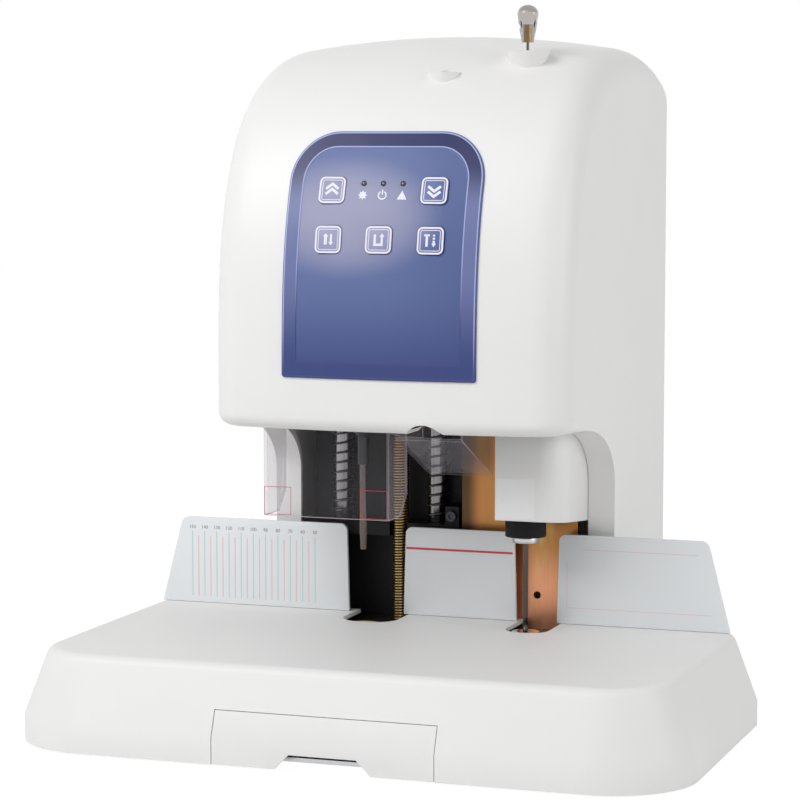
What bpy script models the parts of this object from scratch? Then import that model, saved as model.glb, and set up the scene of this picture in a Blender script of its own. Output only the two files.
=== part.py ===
"""Document riveting machine: a desk machine that drills a stack of paper and rivets it with a nylon tube.

Frame: metres, +Z up, the front faces -Y, the origin is on the table under the middle of the machine.
Every moving piece has its origin on the axis that it turns about or slides along.
"""

import math

import bmesh
import bpy
from mathutils import Matrix, Vector

# Overall sizes
MACHINE_WIDTH = 0.482
MACHINE_DEPTH = 0.401
FOOT_GAP = 0.002                # lower edge of the shells above the table
CLEAR = 0.0003                  # gap between pieces that touch
SLIDE_GAP = 0.0004              # gap round pieces that slide or turn
OVERRUN = 0.002                 # how far a cutter passes the face that it cuts
MERGE = 0.00001                 # points nearer than this are one point

# Main places
FRONT_Y = -MACHINE_DEPTH / 2
REAR_Y = MACHINE_DEPTH / 2
BASE_DEPTH = 0.245
BASE_REAR_Y = FRONT_Y + BASE_DEPTH
FENCE_FROM_REAR = 0.004
FENCE_Y = BASE_REAR_Y - FENCE_FROM_REAR
TOOL_SETBACK = 0.0306           # drill and rivet axes in front of the paper fence
TOOL_Y = FENCE_Y - TOOL_SETBACK
DRILL_X = -0.0464
TOOL_SPACING = 0.1242
RIVET_X = DRILL_X + TOOL_SPACING
TUBE_OFFSET = 0.0707            # tube port to the right of the drill
TUBE_X = DRILL_X + TUBE_OFFSET

# Base shell
PLATFORM_Z = 0.0676
BASE_FLARE = 0.0205             # foot outside the platform's edge
BAND_HEIGHT = 0.018             # upright band along the foot
BASE_LEAN = math.radians(20.7)  # slope of the base's sides from upright
EDGE_RADIUS = 0.0085            # rounding of the platform's edge
PLAN_RADIUS = 0.040             # platform corner, seen from above
BASE_WALL = 0.003
NECK_HALF_WIDTH = 0.1315
SLOT_RADIUS_SHARE = 0.85        # corner radius of a tool slot, share of its half width
DRILL_SLOT_OFFSET = 0.003
DRILL_SLOT_HALF = 0.021
DRILL_SLOT_REACH = 0.040
RIVET_SLOT_OFFSET = 0.0018
RIVET_SLOT_HALF = 0.016
RIVET_SLOT_REACH = 0.0445
BASE_INNER_HALF = 0.112

# Paper fence
FENCE_THICK = 0.003
FENCE_TOP_Z = 0.1333
FENCE_OUTER_RADIUS = 0.007
FENCE_INNER_RADIUS = 0.005
FENCE_END_INSET = 0.0197        # ends of the fence from the sides of the machine
FENCE_FOOT_HALF = MACHINE_WIDTH / 2 - FENCE_END_INSET
FENCE_TOP_INSET = 0.0350
FENCE_TOP_HALF = MACHINE_WIDTH / 2 - FENCE_TOP_INSET
LEDGE_DROP = 0.0002             # the platform steps down under the fence
LEDGE_FOOT_Z = PLATFORM_Z - LEDGE_DROP
FENCE_DRAFT = 0.0016            # how much a gap narrows from top to bottom, each side
DRILL_GAP_TO_LEFT = 0.0260      # edges of the two gaps from the axes of their tools
DRILL_GAP_TO_RIGHT = 0.0237
RIVET_GAP_TO_LEFT = 0.0194
RIVET_GAP_TO_RIGHT = 0.0179
DRILL_GAP_LEFT_X = DRILL_X - DRILL_GAP_TO_LEFT
DRILL_GAP_RIGHT_X = DRILL_X + DRILL_GAP_TO_RIGHT
RIVET_GAP_LEFT_X = RIVET_X - RIVET_GAP_TO_LEFT
RIVET_GAP_RIGHT_X = RIVET_X + RIVET_GAP_TO_RIGHT

# Chassis and feet
CHASSIS_Z = 0.004
CHASSIS_THICK = 0.003
CHASSIS_FRONT_HALF = 0.205
CHASSIS_SETBACK = 0.018         # chassis behind the bin's front
CHASSIS_END_GAP = 0.006
FOOT_RADIUS = 0.011
FOOT_FRONT_IN = 0.025           # front feet from the ends of the chassis plate
FOOT_FRONT_X = CHASSIS_FRONT_HALF - FOOT_FRONT_IN
FOOT_REAR_X = 0.100
FOOT_INSET = 0.022              # a foot's middle from the chassis plate's edge

# Paper bin
BIN_HALF = 0.0787
BIN_TOP_Z = 0.038
BIN_FLOOR_GAP = 0.0008          # floor of the bin above the finger notch
BIN_TRAY_TOP_Z = 0.034
BIN_WALL = 0.0016
BIN_RUNNER = 0.004
BIN_FACE_WALL = 0.003
BIN_BEHIND_TOOLS = 0.012        # back of the bin behind the tools' axes
BIN_BACK_Y = TOOL_Y + BIN_BEHIND_TOOLS
BIN_GAP = 0.0005
NOTCH_TOP_HALF = 0.024
NOTCH_FOOT_HALF = 0.0385
NOTCH_HEIGHT = 0.0105
NOTCH_OFFSET = 0.0005
BIN_GUIDE_THICK = 0.002
BIN_GUIDE_HEIGHT = 0.009

# Housing of head and column
HOUSING_HALF = 0.1322
HOUSING_WALL = 0.003
COLUMN_SETBACK = 0.0126         # column front behind the fence's face
COLUMN_FRONT_Y = FENCE_Y + COLUMN_SETBACK
HEAD_REACH = 0.1293             # head front in front of the fence's face
HEAD_FRONT_Y = FENCE_Y - HEAD_REACH
HEAD_BOTTOM_Z = 0.2165
HEAD_FOOT_RADIUS = 0.010
BROW_Z = 0.249                  # height where the face starts to lean back
CREST_Z = 0.4955
CREST_SETBACK = 0.0738          # highest line behind the fence's face
CREST_Y = FENCE_Y + CREST_SETBACK
BROW_POWER_SHARE = 2.75         # exponent of the superellipse
REAR_RUN_SHARE = 2.081          # length that the rear quarter would have if it went on, share of what it has
REAR_RUN = REAR_RUN_SHARE * (REAR_Y - CREST_Y)
REAR_SHARES = (0.5, 1.0)        # sections behind the crest
SECTION_SHARES = (0.4, 0.7)     # sections between the middle and the edge
CROWN = 0.0076                  # how much the face and the top bow across the head
EDGE_FILLET = 0.0287            # rounding from face and top to the sides
WING_INNER_HALF = 0.1124        # the column is open between its wings
ARCH_DEPTH = 0.082
ARCH_HEIGHT = 0.045
MOUTH_SETBACK = 0.0343          # opening in the head's floor behind the face
FINGER_X = 0.0319
FINGER_RADIUS = 0.016
FINGER_RISE = 0.007

# Control panel
PANEL_X = -0.0010
PANEL_HALF = 0.0715
PANEL_BOTTOM_Z = 0.254
PANEL_TOP_Z = 0.425
PANEL_TOP_RADIUS = 0.034
PANEL_FOOT_RADIUS = 0.002
PANEL_PROUD = 0.0015
BUTTON_SIDE = 0.0195
BUTTON_RADIUS = 0.004
BUTTON_PITCH = 0.0375
BUTTON_THICK = 0.0040
BUTTON_TRAVEL = 0.0005
BUTTON_MARGIN = 0.0002          # a pressed button still stands this far out of the panel
BUTTON_PROUD = BUTTON_TRAVEL + BUTTON_MARGIN
BUTTON_TOP_Z = 0.3845
BUTTON_LOWER_Z = 0.3505
LAMP_PITCH = 0.0144
LAMP_RADIUS = 0.0018
LAMP_RISE = 0.0045              # lamps above the middle of the upper buttons
LAMP_BAR_THICK = 0.002
LAMP_BAR_GAP = 0.0022

# Rear cover and what it carries
REAR_COVER_THICK = 0.0025
REAR_COVER_INSET = 0.0006
REAR_COVER_GAP = 0.0005
REAR_COVER_FOOT_Z = 0.006
INLET_X = 0.075
INLET_Z = 0.042
INLET_WIDTH = 0.030
INLET_HEIGHT = 0.022
INLET_DEPTH = 0.022
INLET_FLANGE = 0.003
INLET_POCKET_SHARE = 0.78
INLET_PIN_RADIUS = 0.0013
SWITCH_X = 0.036
SWITCH_WIDTH = 0.013
SWITCH_HEIGHT = 0.019
SWITCH_DEPTH = 0.012
SWITCH_TILT = 0.0012            # how far the rocker's ends fall back from its middle
VENT_COUNT = 12
VENT_WIDTH = 0.004
VENT_PITCH = 0.010
VENT_HALF_LENGTH = 0.035
VENT_Z = 0.330
COVER_SCREW_RADIUS = 0.003
COVER_SCREW_HEAD = 0.0012
COVER_SCREW_INSET = 0.012

# Frame of the mechanism
BACK_PLATE_SETBACK = 0.038
BACK_PLATE_THICK = 0.004
BACK_PLATE_TO_LEFT = 0.064      # edges of the two plates from the axes of their tools
BACK_PLATE_TO_RIGHT = 0.059
BACK_PLATE_LEFT_X = DRILL_X - BACK_PLATE_TO_LEFT
BACK_PLATE_RIGHT_X = DRILL_X + BACK_PLATE_TO_RIGHT
BAY_FRONT_Y = FENCE_Y + BACK_PLATE_SETBACK + BACK_PLATE_THICK   # room for the electrics
BAY_DEPTH = REAR_Y - REAR_COVER_INSET - REAR_COVER_THICK - BAY_FRONT_Y
RIVET_PLATE_SETBACK = 0.016
RIVET_PLATE_THICK = 0.003
RIVET_PLATE_TO_LEFT = 0.0632
RIVET_PLATE_TO_RIGHT = 0.0258
RIVET_PLATE_LEFT_X = RIVET_X - RIVET_PLATE_TO_LEFT
RIVET_PLATE_RIGHT_X = RIVET_X + RIVET_PLATE_TO_RIGHT
PLATE_HOLE_RADIUS = 0.0028
PLATE_HOLE_OFFSET = 0.0049
PLATE_HOLE_Z = 0.085
SHELF_Z = 0.162
SHELF_THICK = 0.008
SHELF_HALF = 0.024
SHELF_REACH = 0.029
CROSS_PLATE_Z = 0.124
CROSS_PLATE_THICK = 0.010
CROSS_PLATE_SETBACK = 0.014
LUG_WIDTH = 0.0106
LUG_HEIGHT = 0.014
BOLT_RADIUS = 0.0038
BOLT_HEAD = 0.0030
BOLT_SOCKET_RADIUS = 0.0022
TOP_PLATE_Z = 0.436
TOP_PLATE_THICK = 0.006
TOP_PLATE_SETFORWARD = 0.020
TOP_PLATE_REAR_SHARE = 0.5918   # rear edge, from the front of the bay
TOP_PLATE_REAR_Y = BAY_FRONT_Y + TOP_PLATE_REAR_SHARE * BAY_DEPTH
TAB_HALF = 0.012
TAB_REACH = 0.012
BEAM_Z = 0.046
BEAM_THICK = 0.014
BEAM_REACH = 0.016
BEAM_SIDE = 0.025

# Drill station
POST_SPREAD = 0.0378
POST_SETBACK = 0.028
POST_RADIUS = 0.0070
SPRING_RADIUS = 0.0090          # outside of the coil
WIRE_RADIUS = 0.0007
SPRING_CURLS = 15
CURL_POINTS = 9
SCREW_OFFSET = 0.0115
SCREW_SETBACK = 0.020
SCREW_RADIUS = 0.0062
CARRIAGE_Z = 0.245
CARRIAGE_THICK = 0.020
CARRIAGE_HALF = 0.050
CARRIAGE_REAR_DEPTH = 0.027
CARRIAGE_ARM_HALF = 0.021
CARRIAGE_STROKE = 0.056
NUT_RADIUS = 0.0090
NUT_FLANGE_RADIUS = 0.0120
NUT_FLANGE_THICK = 0.003
MOTOR_RADIUS = 0.0200
MOTOR_HEIGHT = 0.085
MOTOR_BOSS_RADIUS = 0.009
MOTOR_BOSS_HEIGHT = 0.005
CHUCK_RADIUS = 0.0080
CHUCK_NOSE_RADIUS = 0.0038
CHUCK_NOSE_Z = 0.183
CHUCK_SHOULDER_Z = 0.207
CHUCK_SHAFT_RADIUS = 0.0050
BIT_RADIUS = 0.0028
BIT_BORE_RADIUS = 0.0021
BIT_OVERTRAVEL = 0.0003         # how far the drill goes into the pad's dish
BIT_TOP_Z = 0.232
PAD_RADIUS = 0.0135
PAD_HEIGHT = 0.0040
PAD_DISH_RADIUS = 0.0050
PAD_DISH_DEPTH = 0.0012
CHIP_HOLE_RADIUS = 0.0045

PAD_TOP_Z = BEAM_Z + BEAM_THICK + CLEAR + PAD_HEIGHT
BIT_TIP_Z = PAD_TOP_Z - BIT_OVERTRAVEL + CARRIAGE_STROKE

# Press drive on the top plate
PULLEY_HEIGHT = 0.011
PULLEY_RIM = 0.0012
PULLEY_LIP = 0.0022
SCREW_PULLEY_RADIUS = 0.016
MOTOR_PULLEY_RADIUS = 0.009
BELT_THICK = 0.0014
PRESS_MOTOR_PLACE_SHARE = 0.37424   # the motor's place and size follow the bay
PRESS_MOTOR_SIZE_SHARE = 0.18277
PRESS_MOTOR_Y = BAY_FRONT_Y + PRESS_MOTOR_PLACE_SHARE * BAY_DEPTH
PRESS_MOTOR_RADIUS = PRESS_MOTOR_SIZE_SHARE * BAY_DEPTH
PRESS_MOTOR_HEIGHT = 0.080
PRESS_SHAFT_RADIUS = 0.003

# Rivet station
NEEDLE_RADIUS = 0.0019
NEEDLE_ROD_RADIUS = 0.0010
NEEDLE_FOOT_Z = 0.0645
NEEDLE_SHOULDER_Z = 0.300
BORE_GAP = 0.0007
DIE_HEIGHT = 0.0041
DIE_RADIUS = 0.0095
INSULATOR_RADIUS = 0.01475
INSULATOR_HEIGHT = 0.029
HEATER_HALF = 0.0135
HEATER_HEIGHT = 0.040
HEATER_SHAFT_RADIUS = 0.007
SLIDE_Z = 0.262
SLIDE_THICK = 0.028
SLIDE_HALF = 0.0245
SLIDE_FRONT = 0.013
RIVET_STROKE = 0.058
RIVET_CLOSED_GAP = 0.0069       # die above the anvil at the end of the stroke
RIVET_ROD_SPREAD = 0.018
RIVET_ROD_RADIUS = 0.004
RIVET_DRIVE_SETBACK = -0.001
RIVET_SCREW_RADIUS = 0.004
RIVET_MOTOR_RADIUS = 0.0132
RIVET_MOTOR_HEIGHT = 0.095
ANVIL_RADIUS = 0.010
ANVIL_HEIGHT = 0.006
DIE_Z = BEAM_Z + BEAM_THICK + CLEAR + ANVIL_HEIGHT + RIVET_CLOSED_GAP + RIVET_STROKE
COVER_TO_LEFT = 0.0152
COVER_REACH = 0.0264            # cover in front of the rivet axis
COVER_LEFT_X = RIVET_X - COVER_TO_LEFT
COVER_FRONT_Y = TOOL_Y - COVER_REACH
COVER_RADIUS = 0.018
COVER_WALL = 0.0025
COVER_BOTTOM_Z = 0.150
COVER_DROP = 0.008              # the cover's lower edge falls towards the rear
COVER_TOP_Z = 0.2225
COVER_TUCK = 0.007              # how far the cover runs in between the wings
COVER_REAR_Y = COLUMN_FRONT_Y + COVER_TUCK

# Needle knob and boss
BOSS_RADIUS = 0.0115
BOSS_ROOT_RADIUS = 0.0048
BOSS_TOP_Z = 0.482
BOSS_HEIGHT = 0.019
BUSH_RADIUS = 0.0030
BUSH_LENGTH = 0.024
KNOB_FOOT_Z = 0.488
KNOB_FOOT_RADIUS = 0.00425
KNOB_RADIUS = 0.0075
KNOB_SHOULDER_Z = 0.5080
KNOB_TOP_Z = 0.5145
INSERT_RADIUS = 0.0028
INSERT_TOP_Z = 0.5005

# Nylon tube feed
PORT_REACH = 0.0552             # port in front of the fence's face
PORT_Y = FENCE_Y - PORT_REACH
PORT_RADIUS = 0.0112
PORT_TOP_Z = 0.467
PORT_HEIGHT = 0.022
TUBE_BORE_RADIUS = 0.0032
TUBE_PIPE_RADIUS = 0.0045
PIPE_FOOT_Z = 0.230
PIPE_FLANGE_RADIUS = 0.009
PIPE_FLANGE_THICK = 0.003
CUTTER_PIN_OFFSET = 0.020
CUTTER_PIN_RADIUS = 0.002
CUTTER_HEAD_RADIUS = 0.0035
CUTTER_BRIDGE_Z = 0.233
CUTTER_BRIDGE_THICK = 0.006
CUTTER_BRIDGE_HALF = 0.006
CUTTER_ARM_THICK = 0.0024
CUTTER_ARM_HALF = 0.005
CUTTER_REST = math.radians(60)  # turn of the blade at rest from where it crosses the tube

# Safety guard and tube tray, clear plastic
GUARD_TO_LEFT = 0.058
GUARD_LEFT_X = DRILL_X - GUARD_TO_LEFT
GUARD_WIDTH = 0.096
GUARD_REACH = 0.082             # guard in front of the fence's face
GUARD_FRONT_Y = FENCE_Y - GUARD_REACH
GUARD_DEPTH = 0.040
GUARD_BOTTOM_Z = 0.149
GUARD_CHAMFER = 0.015
GUARD_WALL = 0.002
LIP_OVERLAP = 0.0065            # clear pieces hang on the edge of the head's floor
TRAY_TO_LEFT = 0.0269
TRAY_LEFT_X = TUBE_X - TRAY_TO_LEFT
TRAY_WIDTH = 0.050
TRAY_REACH = 0.085              # tray's front and rear, in front of the fence's face
TRAY_REAR_REACH = 0.010
TRAY_FRONT_Y = FENCE_Y - TRAY_REACH
TRAY_REAR_Y = FENCE_Y - TRAY_REAR_REACH
TRAY_FRONT_Z = 0.208
TRAY_REAR_Z = 0.175
TRAY_WALL = 0.002
TRAY_BACK_HEIGHT = 0.030

# Electrics in the column
BOARD_PLACE_SHARE = 0.6265
BOARD_Y = BAY_FRONT_Y + BOARD_PLACE_SHARE * BAY_DEPTH
BOARD_THICK = 0.0016
BOARD_HALF = 0.060
BOARD_FOOT_Z = 0.140
BOARD_HEIGHT = 0.110
STANDOFF_RADIUS = 0.003
STANDOFF_INSET = 0.008
SUPPLY_LEFT_X = -0.105
SUPPLY_WIDTH = 0.110
SUPPLY_PLACE_SHARE = 0.196
SUPPLY_FRONT_Y = BAY_FRONT_Y + SUPPLY_PLACE_SHARE * BAY_DEPTH
SUPPLY_DEPTH_SHARE = 0.522
SUPPLY_DEPTH = SUPPLY_DEPTH_SHARE * BAY_DEPTH
SUPPLY_HEIGHT = 0.062

# How finely round shapes are divided
SMALL_SIDES = 12
ROUND_SIDES = 20
LARGE_SIDES = 28
CORNER_STEPS = 4
BROW_STEPS = 10
ARCH_STEPS = 5

RIGHT_ANGLE = math.pi / 2
UP = Vector((0, 0, 1))
BACK = Vector((0, 1, 0))

PALETTE = {
    "white_abs": ((0.80, 0.79, 0.77), 0.45, 0.0),
    "panel_blue": ((0.05, 0.09, 0.26), 0.35, 0.0),
    "button_blue": ((0.09, 0.14, 0.34), 0.40, 0.0),
    "lamp_dark": ((0.01, 0.01, 0.02), 0.25, 0.0),
    "clear": ((0.75, 0.76, 0.78), 0.08, 0.0),
    "black_steel": ((0.03, 0.03, 0.03), 0.45, 0.6),
    "zinc_yellow": ((0.55, 0.43, 0.22), 0.35, 1.0),
    "bright_steel": ((0.60, 0.60, 0.60), 0.25, 1.0),
    "spring_steel": ((0.35, 0.35, 0.36), 0.35, 1.0),
    "brass": ((0.65, 0.48, 0.20), 0.30, 1.0),
    "black_plastic": ((0.02, 0.02, 0.02), 0.50, 0.0),
    "black_rubber": ((0.02, 0.02, 0.02), 0.85, 0.0),
    "pad_beige": ((0.62, 0.52, 0.38), 0.60, 0.0),
    "motor_grey": ((0.30, 0.31, 0.32), 0.40, 0.8),
    "aluminium": ((0.70, 0.70, 0.71), 0.35, 1.0),
    "board_green": ((0.03, 0.20, 0.09), 0.50, 0.0),
}


def clear_scene():
    for item in list(bpy.data.objects):
        bpy.data.objects.remove(item, do_unlink=True)


def new_collection(name):
    collection = bpy.data.collections.new(name)
    bpy.context.scene.collection.children.link(collection)
    return collection


def make_materials():
    """One Principled material for each finish in the palette."""
    made = {}
    for name, (colour, roughness, metallic) in PALETTE.items():
        material = bpy.data.materials.new(name)
        material.use_nodes = True
        shader = material.node_tree.nodes["Principled BSDF"]
        shader.inputs["Base Color"].default_value = (*colour, 1.0)
        shader.inputs["Roughness"].default_value = roughness
        shader.inputs["Metallic"].default_value = metallic
        material.diffuse_color = (*colour, 1.0)
        made[name] = material
    return made


clear_scene()
PARTS = new_collection("document_riveting_machine")
CUTTERS = new_collection("cutters")
MATERIALS = make_materials()


def add_part(name, mesh, finish, origin=(0, 0, 0), smooth=False):
    """Put a mesh whose points are in world places on an object with this origin."""
    mesh.transform(Matrix.Translation(-Vector(origin)))
    item = bpy.data.objects.new(name, mesh)
    item.location = origin
    PARTS.objects.link(item)
    mesh.materials.append(MATERIALS[finish])
    if smooth:
        mesh.shade_smooth()
        mesh.set_sharp_from_angle(angle=math.radians(35))
    return item


def add_cutter(mesh, name="cutter"):
    item = bpy.data.objects.new(name, mesh)
    item.display_type = "WIRE"
    item.hide_render = True
    CUTTERS.objects.link(item)
    return item


def to_mesh(shape, name):
    mesh = bpy.data.meshes.new(name)
    bmesh.ops.recalc_face_normals(shape, faces=shape.faces)
    shape.to_mesh(mesh)
    shape.free()
    return mesh


def move_origin(item, origin):
    """Give an object a new origin and leave its points where they are."""
    item.data.transform(Matrix.Translation(-Vector(origin)))
    item.location = origin


def boolean(item, tool, operation="DIFFERENCE"):
    step = item.modifiers.new(operation.lower(), "BOOLEAN")
    step.operation = operation
    step.solver = "EXACT"
    step.object = tool


def box_shape(shape, low, high):
    """Add a box between two corners to a bmesh."""
    low = Vector(low)
    high = Vector(high)
    size = high - low
    place = Matrix.Translation((low + high) / 2) @ Matrix.Diagonal((*size, 1))
    bmesh.ops.create_cube(shape, size=1, matrix=place)


def rod_shape(shape, start, end, radius, sides=ROUND_SIDES, end_radius=None):
    """Add a cylinder or a cone between two points to a bmesh."""
    start = Vector(start)
    end = Vector(end)
    run = end - start
    turn = UP.rotation_difference(run).to_matrix().to_4x4()
    place = Matrix.Translation((start + end) / 2) @ turn
    far = radius if end_radius is None else end_radius
    bmesh.ops.create_cone(
        shape, cap_ends=True, segments=sides, radius1=radius, radius2=far, depth=run.length, matrix=place
    )


def box_mesh(name, low, high):
    shape = bmesh.new()
    box_shape(shape, low, high)
    return to_mesh(shape, name)


def rod_mesh(name, start, end, radius, sides=ROUND_SIDES, end_radius=None):
    shape = bmesh.new()
    rod_shape(shape, start, end, radius, sides, end_radius)
    return to_mesh(shape, name)


def box(name, low, high, finish, origin=(0, 0, 0)):
    return add_part(name, box_mesh(name, low, high), finish, origin)


def rod(name, start, end, radius, finish, origin=(0, 0, 0), sides=ROUND_SIDES):
    return add_part(name, rod_mesh(name, start, end, radius, sides), finish, origin, smooth=True)


def cut_box(item, low, high, operation="DIFFERENCE"):
    """Cut, join or intersect an object with a box given in world places."""
    tool = add_cutter(box_mesh("box_tool", low, high))
    boolean(item, tool, operation)


def cut_rod(item, start, end, radius, sides=ROUND_SIDES, operation="DIFFERENCE", end_radius=None):
    tool = add_cutter(rod_mesh("rod_tool", start, end, radius, sides, end_radius))
    boolean(item, tool, operation)


def turned(name, profile, axis_x, axis_y, finish, origin_z=0, sides=ROUND_SIDES):
    """Turn a profile of (radius, height) pairs, listed down the outer side, about an upright axis."""
    closed = profile[0][0] > 0
    mesh = bpy.data.meshes.new(name)
    points = [(radius, 0, height - origin_z) for radius, height in profile]
    edges = [(i, i + 1) for i in range(len(points) - 1)]
    if closed:
        edges.append((len(points) - 1, 0))
    mesh.from_pydata(points, edges, [])
    item = bpy.data.objects.new(name, mesh)
    item.location = (axis_x, axis_y, origin_z)
    PARTS.objects.link(item)
    mesh.materials.append(MATERIALS[finish])
    screw = item.modifiers.new("turn", "SCREW")
    screw.steps = sides
    screw.render_steps = sides
    screw.use_merge_vertices = True
    screw.merge_threshold = MERGE
    screw.use_smooth_shade = True
    return item


def ring_profile(outer, inner, low, high):
    return [(outer, high), (outer, low), (inner, low), (inner, high)]


def arc(centre, radius, start, end, steps=CORNER_STEPS):
    """Points on an arc, with angles in degrees, both ends included."""
    points = []
    for i in range(steps + 1):
        angle = math.radians(start + (end - start) * i / steps)
        points.append((centre[0] + radius * math.cos(angle), centre[1] + radius * math.sin(angle)))
    return points


def rounded_box_outline(low, high, radius, steps=CORNER_STEPS):
    """A rectangle with four round corners, anticlockwise."""
    x0, y0 = low[0] + radius, low[1] + radius
    x1, y1 = high[0] - radius, high[1] - radius
    points = arc((x0, y0), radius, 180, 270, steps) + arc((x1, y0), radius, 270, 360, steps)
    return points + arc((x1, y1), radius, 0, 90, steps) + arc((x0, y1), radius, 90, 180, steps)


def outline_mesh(name, outline, thickness, place):
    """A flat outline of even thickness about its own plane, moved to its place, as a welded mesh."""
    curve = bpy.data.curves.new(name, "CURVE")
    curve.dimensions = "2D"
    curve.fill_mode = "BOTH"
    curve.extrude = thickness / 2
    line = curve.splines.new("POLY")
    line.points.add(len(outline) - 1)
    for point, (u, v) in zip(line.points, outline):
        point.co = (u, v, 0, 1)
    line.use_cyclic_u = True
    holder = bpy.data.objects.new(name, curve)
    PARTS.objects.link(holder)
    holder.matrix_world = place
    bpy.context.view_layer.update()
    evaluated = holder.evaluated_get(bpy.context.evaluated_depsgraph_get())
    mesh = bpy.data.meshes.new_from_object(evaluated)
    mesh.transform(holder.matrix_world)
    bpy.data.objects.remove(holder, do_unlink=True)
    bpy.data.curves.remove(curve)
    shape = bmesh.new()
    shape.from_mesh(mesh)
    bmesh.ops.remove_doubles(shape, verts=shape.verts, dist=MERGE)
    bmesh.ops.recalc_face_normals(shape, faces=shape.faces)
    shape.to_mesh(mesh)
    shape.free()
    mesh.name = name
    return mesh


def flat_place(z):
    """The outline lies level, its u along X and its v along Y."""
    return Matrix.Translation((0, 0, z))


def front_place(y):
    """The outline stands facing the front, its u along X and its v along Z."""
    return Matrix.Translation((0, y, 0)) @ Matrix.Rotation(RIGHT_ANGLE, 4, "X")


def side_place(x):
    """The outline stands facing the side, its u along Y and its v along Z."""
    turn = Matrix.Rotation(RIGHT_ANGLE, 4, "Z") @ Matrix.Rotation(RIGHT_ANGLE, 4, "X")
    return Matrix.Translation((x, 0, 0)) @ turn


def slab(name, outline, low, high, finish, place=flat_place, origin=(0, 0, 0)):
    """A flat outline that fills the space between two planes."""
    mesh = outline_mesh(name, outline, high - low, place((low + high) / 2))
    return add_part(name, mesh, finish, origin)


def cut_slab(item, outline, low, high, place=flat_place, operation="DIFFERENCE"):
    tool = add_cutter(outline_mesh("slab_tool", outline, high - low, place((low + high) / 2)))
    boolean(item, tool, operation)


def loft(name, rings):
    """A closed body through rings of equally many points, with a flat cap at each end."""
    shape = bmesh.new()
    rows = [[shape.verts.new(point) for point in ring] for ring in rings]
    count = len(rings[0])
    for row, after in zip(rows, rows[1:]):
        for i in range(count):
            j = (i + 1) % count
            shape.faces.new((row[i], row[j], after[j], after[i]))
    shape.faces.new(list(reversed(rows[0])))
    shape.faces.new(rows[-1])
    return to_mesh(shape, name)


# Base

def base_section(inset):
    """(height, distance outside the platform's nominal edge) up the base's flared wall."""
    foot_z = FOOT_GAP if inset == 0 else -OVERRUN
    band_z = FOOT_GAP + BAND_HEIGHT
    centre_z = PLATFORM_Z - EDGE_RADIUS
    run = (EDGE_RADIUS + (centre_z - band_z) * math.sin(BASE_LEAN)) / math.cos(BASE_LEAN)
    centre = BASE_FLARE - run
    radius = EDGE_RADIUS - inset
    section = [(foot_z, BASE_FLARE - inset), (band_z - inset * math.tan(BASE_LEAN / 2), BASE_FLARE - inset)]
    for step in range(CORNER_STEPS + 1):
        angle = BASE_LEAN + (RIGHT_ANGLE - BASE_LEAN) * step / CORNER_STEPS
        section.append((centre_z + radius * math.sin(angle), centre + radius * math.cos(angle)))
    return section


def base_body(inset=0):
    """The base as a solid: flared walls round the front and sides, a flat rear."""
    half = MACHINE_WIDTH / 2 - BASE_FLARE
    rear = BASE_REAR_Y - inset
    rings = []
    for height, out in base_section(inset):
        radius = PLAN_RADIUS + out
        x = half - PLAN_RADIUS
        y = FRONT_Y + BASE_FLARE + PLAN_RADIUS
        ring = [(-half - out, rear, height)]
        ring += [(u, v, height) for u, v in arc((-x, y), radius, 180, 270, CORNER_STEPS + 2)]
        ring += [(u, v, height) for u, v in arc((x, y), radius, 270, 360, CORNER_STEPS + 2)]
        ring.append((half + out, rear, height))
        rings.append(ring)
    return loft("base", rings)


def tool_slot(middle_x, half, reach):
    """Outline of a slot in the platform, round in front and open through the rear."""
    radius = half * SLOT_RADIUS_SHARE
    front = FENCE_Y - reach
    left = arc((middle_x - half + radius, front + radius), radius, 180, 270)
    right = arc((middle_x + half - radius, front + radius), radius, 270, 360)
    rear = COLUMN_FRONT_Y + OVERRUN
    return left + right + [(middle_x + half, rear), (middle_x - half, rear)]


def make_base_shell():
    shell = add_part("base_shell", base_body(), "white_abs")
    low = (-NECK_HALF_WIDTH, BASE_REAR_Y - BASE_WALL, FOOT_GAP)
    cut_box(shell, low, (NECK_HALF_WIDTH, COLUMN_FRONT_Y - CLEAR, PLATFORM_Z), "UNION")
    boolean(shell, add_cutter(base_body(BASE_WALL)))
    back = COLUMN_FRONT_Y + OVERRUN
    cut_box(
        shell, (-BASE_INNER_HALF, BASE_REAR_Y - 2 * BASE_WALL, -OVERRUN),
        (BASE_INNER_HALF, back, PLATFORM_Z - BASE_WALL),
    )
    for middle, half, reach in (
        (DRILL_X + DRILL_SLOT_OFFSET, DRILL_SLOT_HALF, DRILL_SLOT_REACH),
        (RIVET_X + RIVET_SLOT_OFFSET, RIVET_SLOT_HALF, RIVET_SLOT_REACH),
    ):
        low_z = PLATFORM_Z - BASE_WALL - OVERRUN
        cut_slab(shell, tool_slot(middle, half, reach), low_z, PLATFORM_Z + OVERRUN)
    ledge = MACHINE_WIDTH / 2
    cut_box(shell, (-ledge, FENCE_Y - CLEAR, LEDGE_FOOT_Z), (ledge, back, PLATFORM_Z + OVERRUN))
    side = BIN_HALF + BIN_GAP
    cut_box(
        shell, (-side, FRONT_Y - OVERRUN, -OVERRUN),
        (side, FRONT_Y + BASE_FLARE + BASE_WALL, BIN_TOP_Z + BIN_GAP),
    )


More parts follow.
